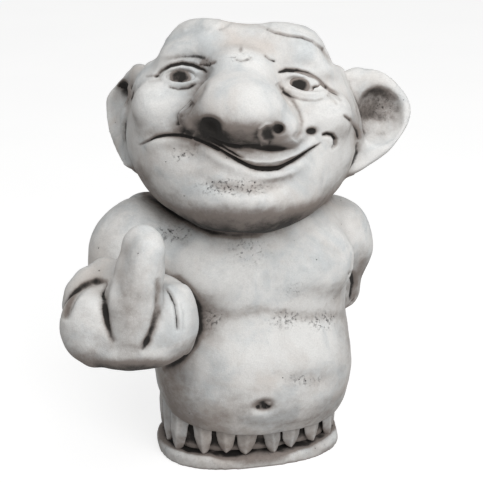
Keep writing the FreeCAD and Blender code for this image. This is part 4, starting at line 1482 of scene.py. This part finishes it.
def white_world(strength):
    """An even sky that the camera sees as white."""
    world = bpy.data.worlds.new("Overcast")
    world.use_nodes = True
    tree = world.node_tree
    path = add_node(tree, "ShaderNodeLightPath").outputs
    seen = math_node(tree, "ADD", path["Is Camera Ray"], path["Is Glossy Ray"])
    seen = math_node(tree, "ADD", seen, path["Is Transmission Ray"], clamp=True)
    level = add_node(tree, "ShaderNodeMix", {0: seen, 2: strength, 3: 1.0}, data_type="FLOAT").outputs[0]
    tree.links.new(level, tree.nodes["Background"].inputs["Strength"])
    tree.nodes["Background"].inputs["Color"].default_value = (1, 1, 1, 1)
    return world


def soft_lamp(name, place, aim, size, power):
    """A square softbox that points at a place."""
    bpy.ops.object.light_add(type="AREA", location=place)
    lamp = bpy.context.object
    lamp.name = name
    lamp.data.shape = "SQUARE"
    lamp.data.size = size
    lamp.data.energy = power
    lamp.rotation_euler = (Vector(aim) - Vector(place)).to_track_quat("-Z", "Y").to_euler()


# Each lamp's place and width in metres, and its share of the key power
LAMPS = {
    "overhead": ((0.12, -0.85, 1.10), 1.1, 1.0),
    "fill": ((0.45, -1.1, 0.25), 0.9, 0.34),
}
FLOOR_WIDTH = 9


class TROLL_OT_stage(bpy.types.Operator):
    """Lay the ground and set the camera and the lamps"""

    bl_idname = "troll.stage"
    bl_label = "Stage"

    def execute(self, context):
        view = settings("troll_stage")
        bpy.ops.object.select_all(action="DESELECT")
        bpy.ops.mesh.primitive_grid_add(x_subdivisions=8, y_subdivisions=8, size=FLOOR_WIDTH)
        floor = bpy.context.object
        floor.name = "ground"
        floor.data.transform(Matrix.Translation((0, 0, CAD_BOX[0][2])))
        floor.data.materials.append(backdrop_material())
        floor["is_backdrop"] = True
        back, aim = Vector(camera_basis()[3]), Vector(view.aim)
        bpy.ops.object.camera_add(location=aim + back * view.distance)
        camera = bpy.context.object
        camera.name = "camera"
        camera.rotation_euler = back.to_track_quat("Z", "Y").to_euler()
        camera.data.lens = view.lens
        camera.data.sensor_width = SENSOR_WIDTH
        camera.data.clip_start = 0.01
        context.scene.camera = camera
        context.scene.world = white_world(view.sky)
        context.scene.view_settings.view_transform = "Standard"
        for name, (place, size, share) in LAMPS.items():
            soft_lamp(name, place, aim, size, view.key_power * share)
        return {"FINISHED"}


class TROLL_PT_panel(bpy.types.Panel):
    """Lists the settings and the pieces"""

    bl_idname = "TROLL_PT_panel"
    bl_label = "Garden troll"
    bl_space_type = "VIEW_3D"
    bl_region_type = "UI"
    bl_category = "Garden troll"

    def draw(self, context):
        for group in PROPERTY_GROUPS:
            box = self.layout.box()
            for name in group.__annotations__:
                box.prop(settings(PROPERTY_GROUPS[group]), name)
        for operator in OPERATORS:
            self.layout.operator(operator.bl_idname)


PROPERTY_GROUPS = {TrollStone: "troll_stone", TrollSculpt: "troll_sculpt", TrollStage: "troll_stage"}
OPERATORS = (
    TROLL_OT_stage,
    TROLL_OT_head,
    TROLL_OT_eyes,
    TROLL_OT_body,
    TROLL_OT_hand,
    TROLL_OT_skirt,
    TROLL_OT_plinth,
    TROLL_OT_steel,
    TROLL_OT_sky_shade,
)


def register():
    for group, name in PROPERTY_GROUPS.items():
        bpy.utils.register_class(group)
        setattr(bpy.types.Scene, name, bpy.props.PointerProperty(type=group))
    for operator in OPERATORS:
        bpy.utils.register_class(operator)
    bpy.utils.register_class(TROLL_PT_panel)


def unregister():
    bpy.utils.unregister_class(TROLL_PT_panel)
    for operator in reversed(OPERATORS):
        bpy.utils.unregister_class(operator)
    for group, name in PROPERTY_GROUPS.items():
        delattr(bpy.types.Scene, name)
        bpy.utils.unregister_class(group)


def main():
    register()
    for operator in OPERATORS:
        family, name = operator.bl_idname.split(".")
        getattr(getattr(bpy.ops, family), name)()


if __name__ == "__main__":
    main()
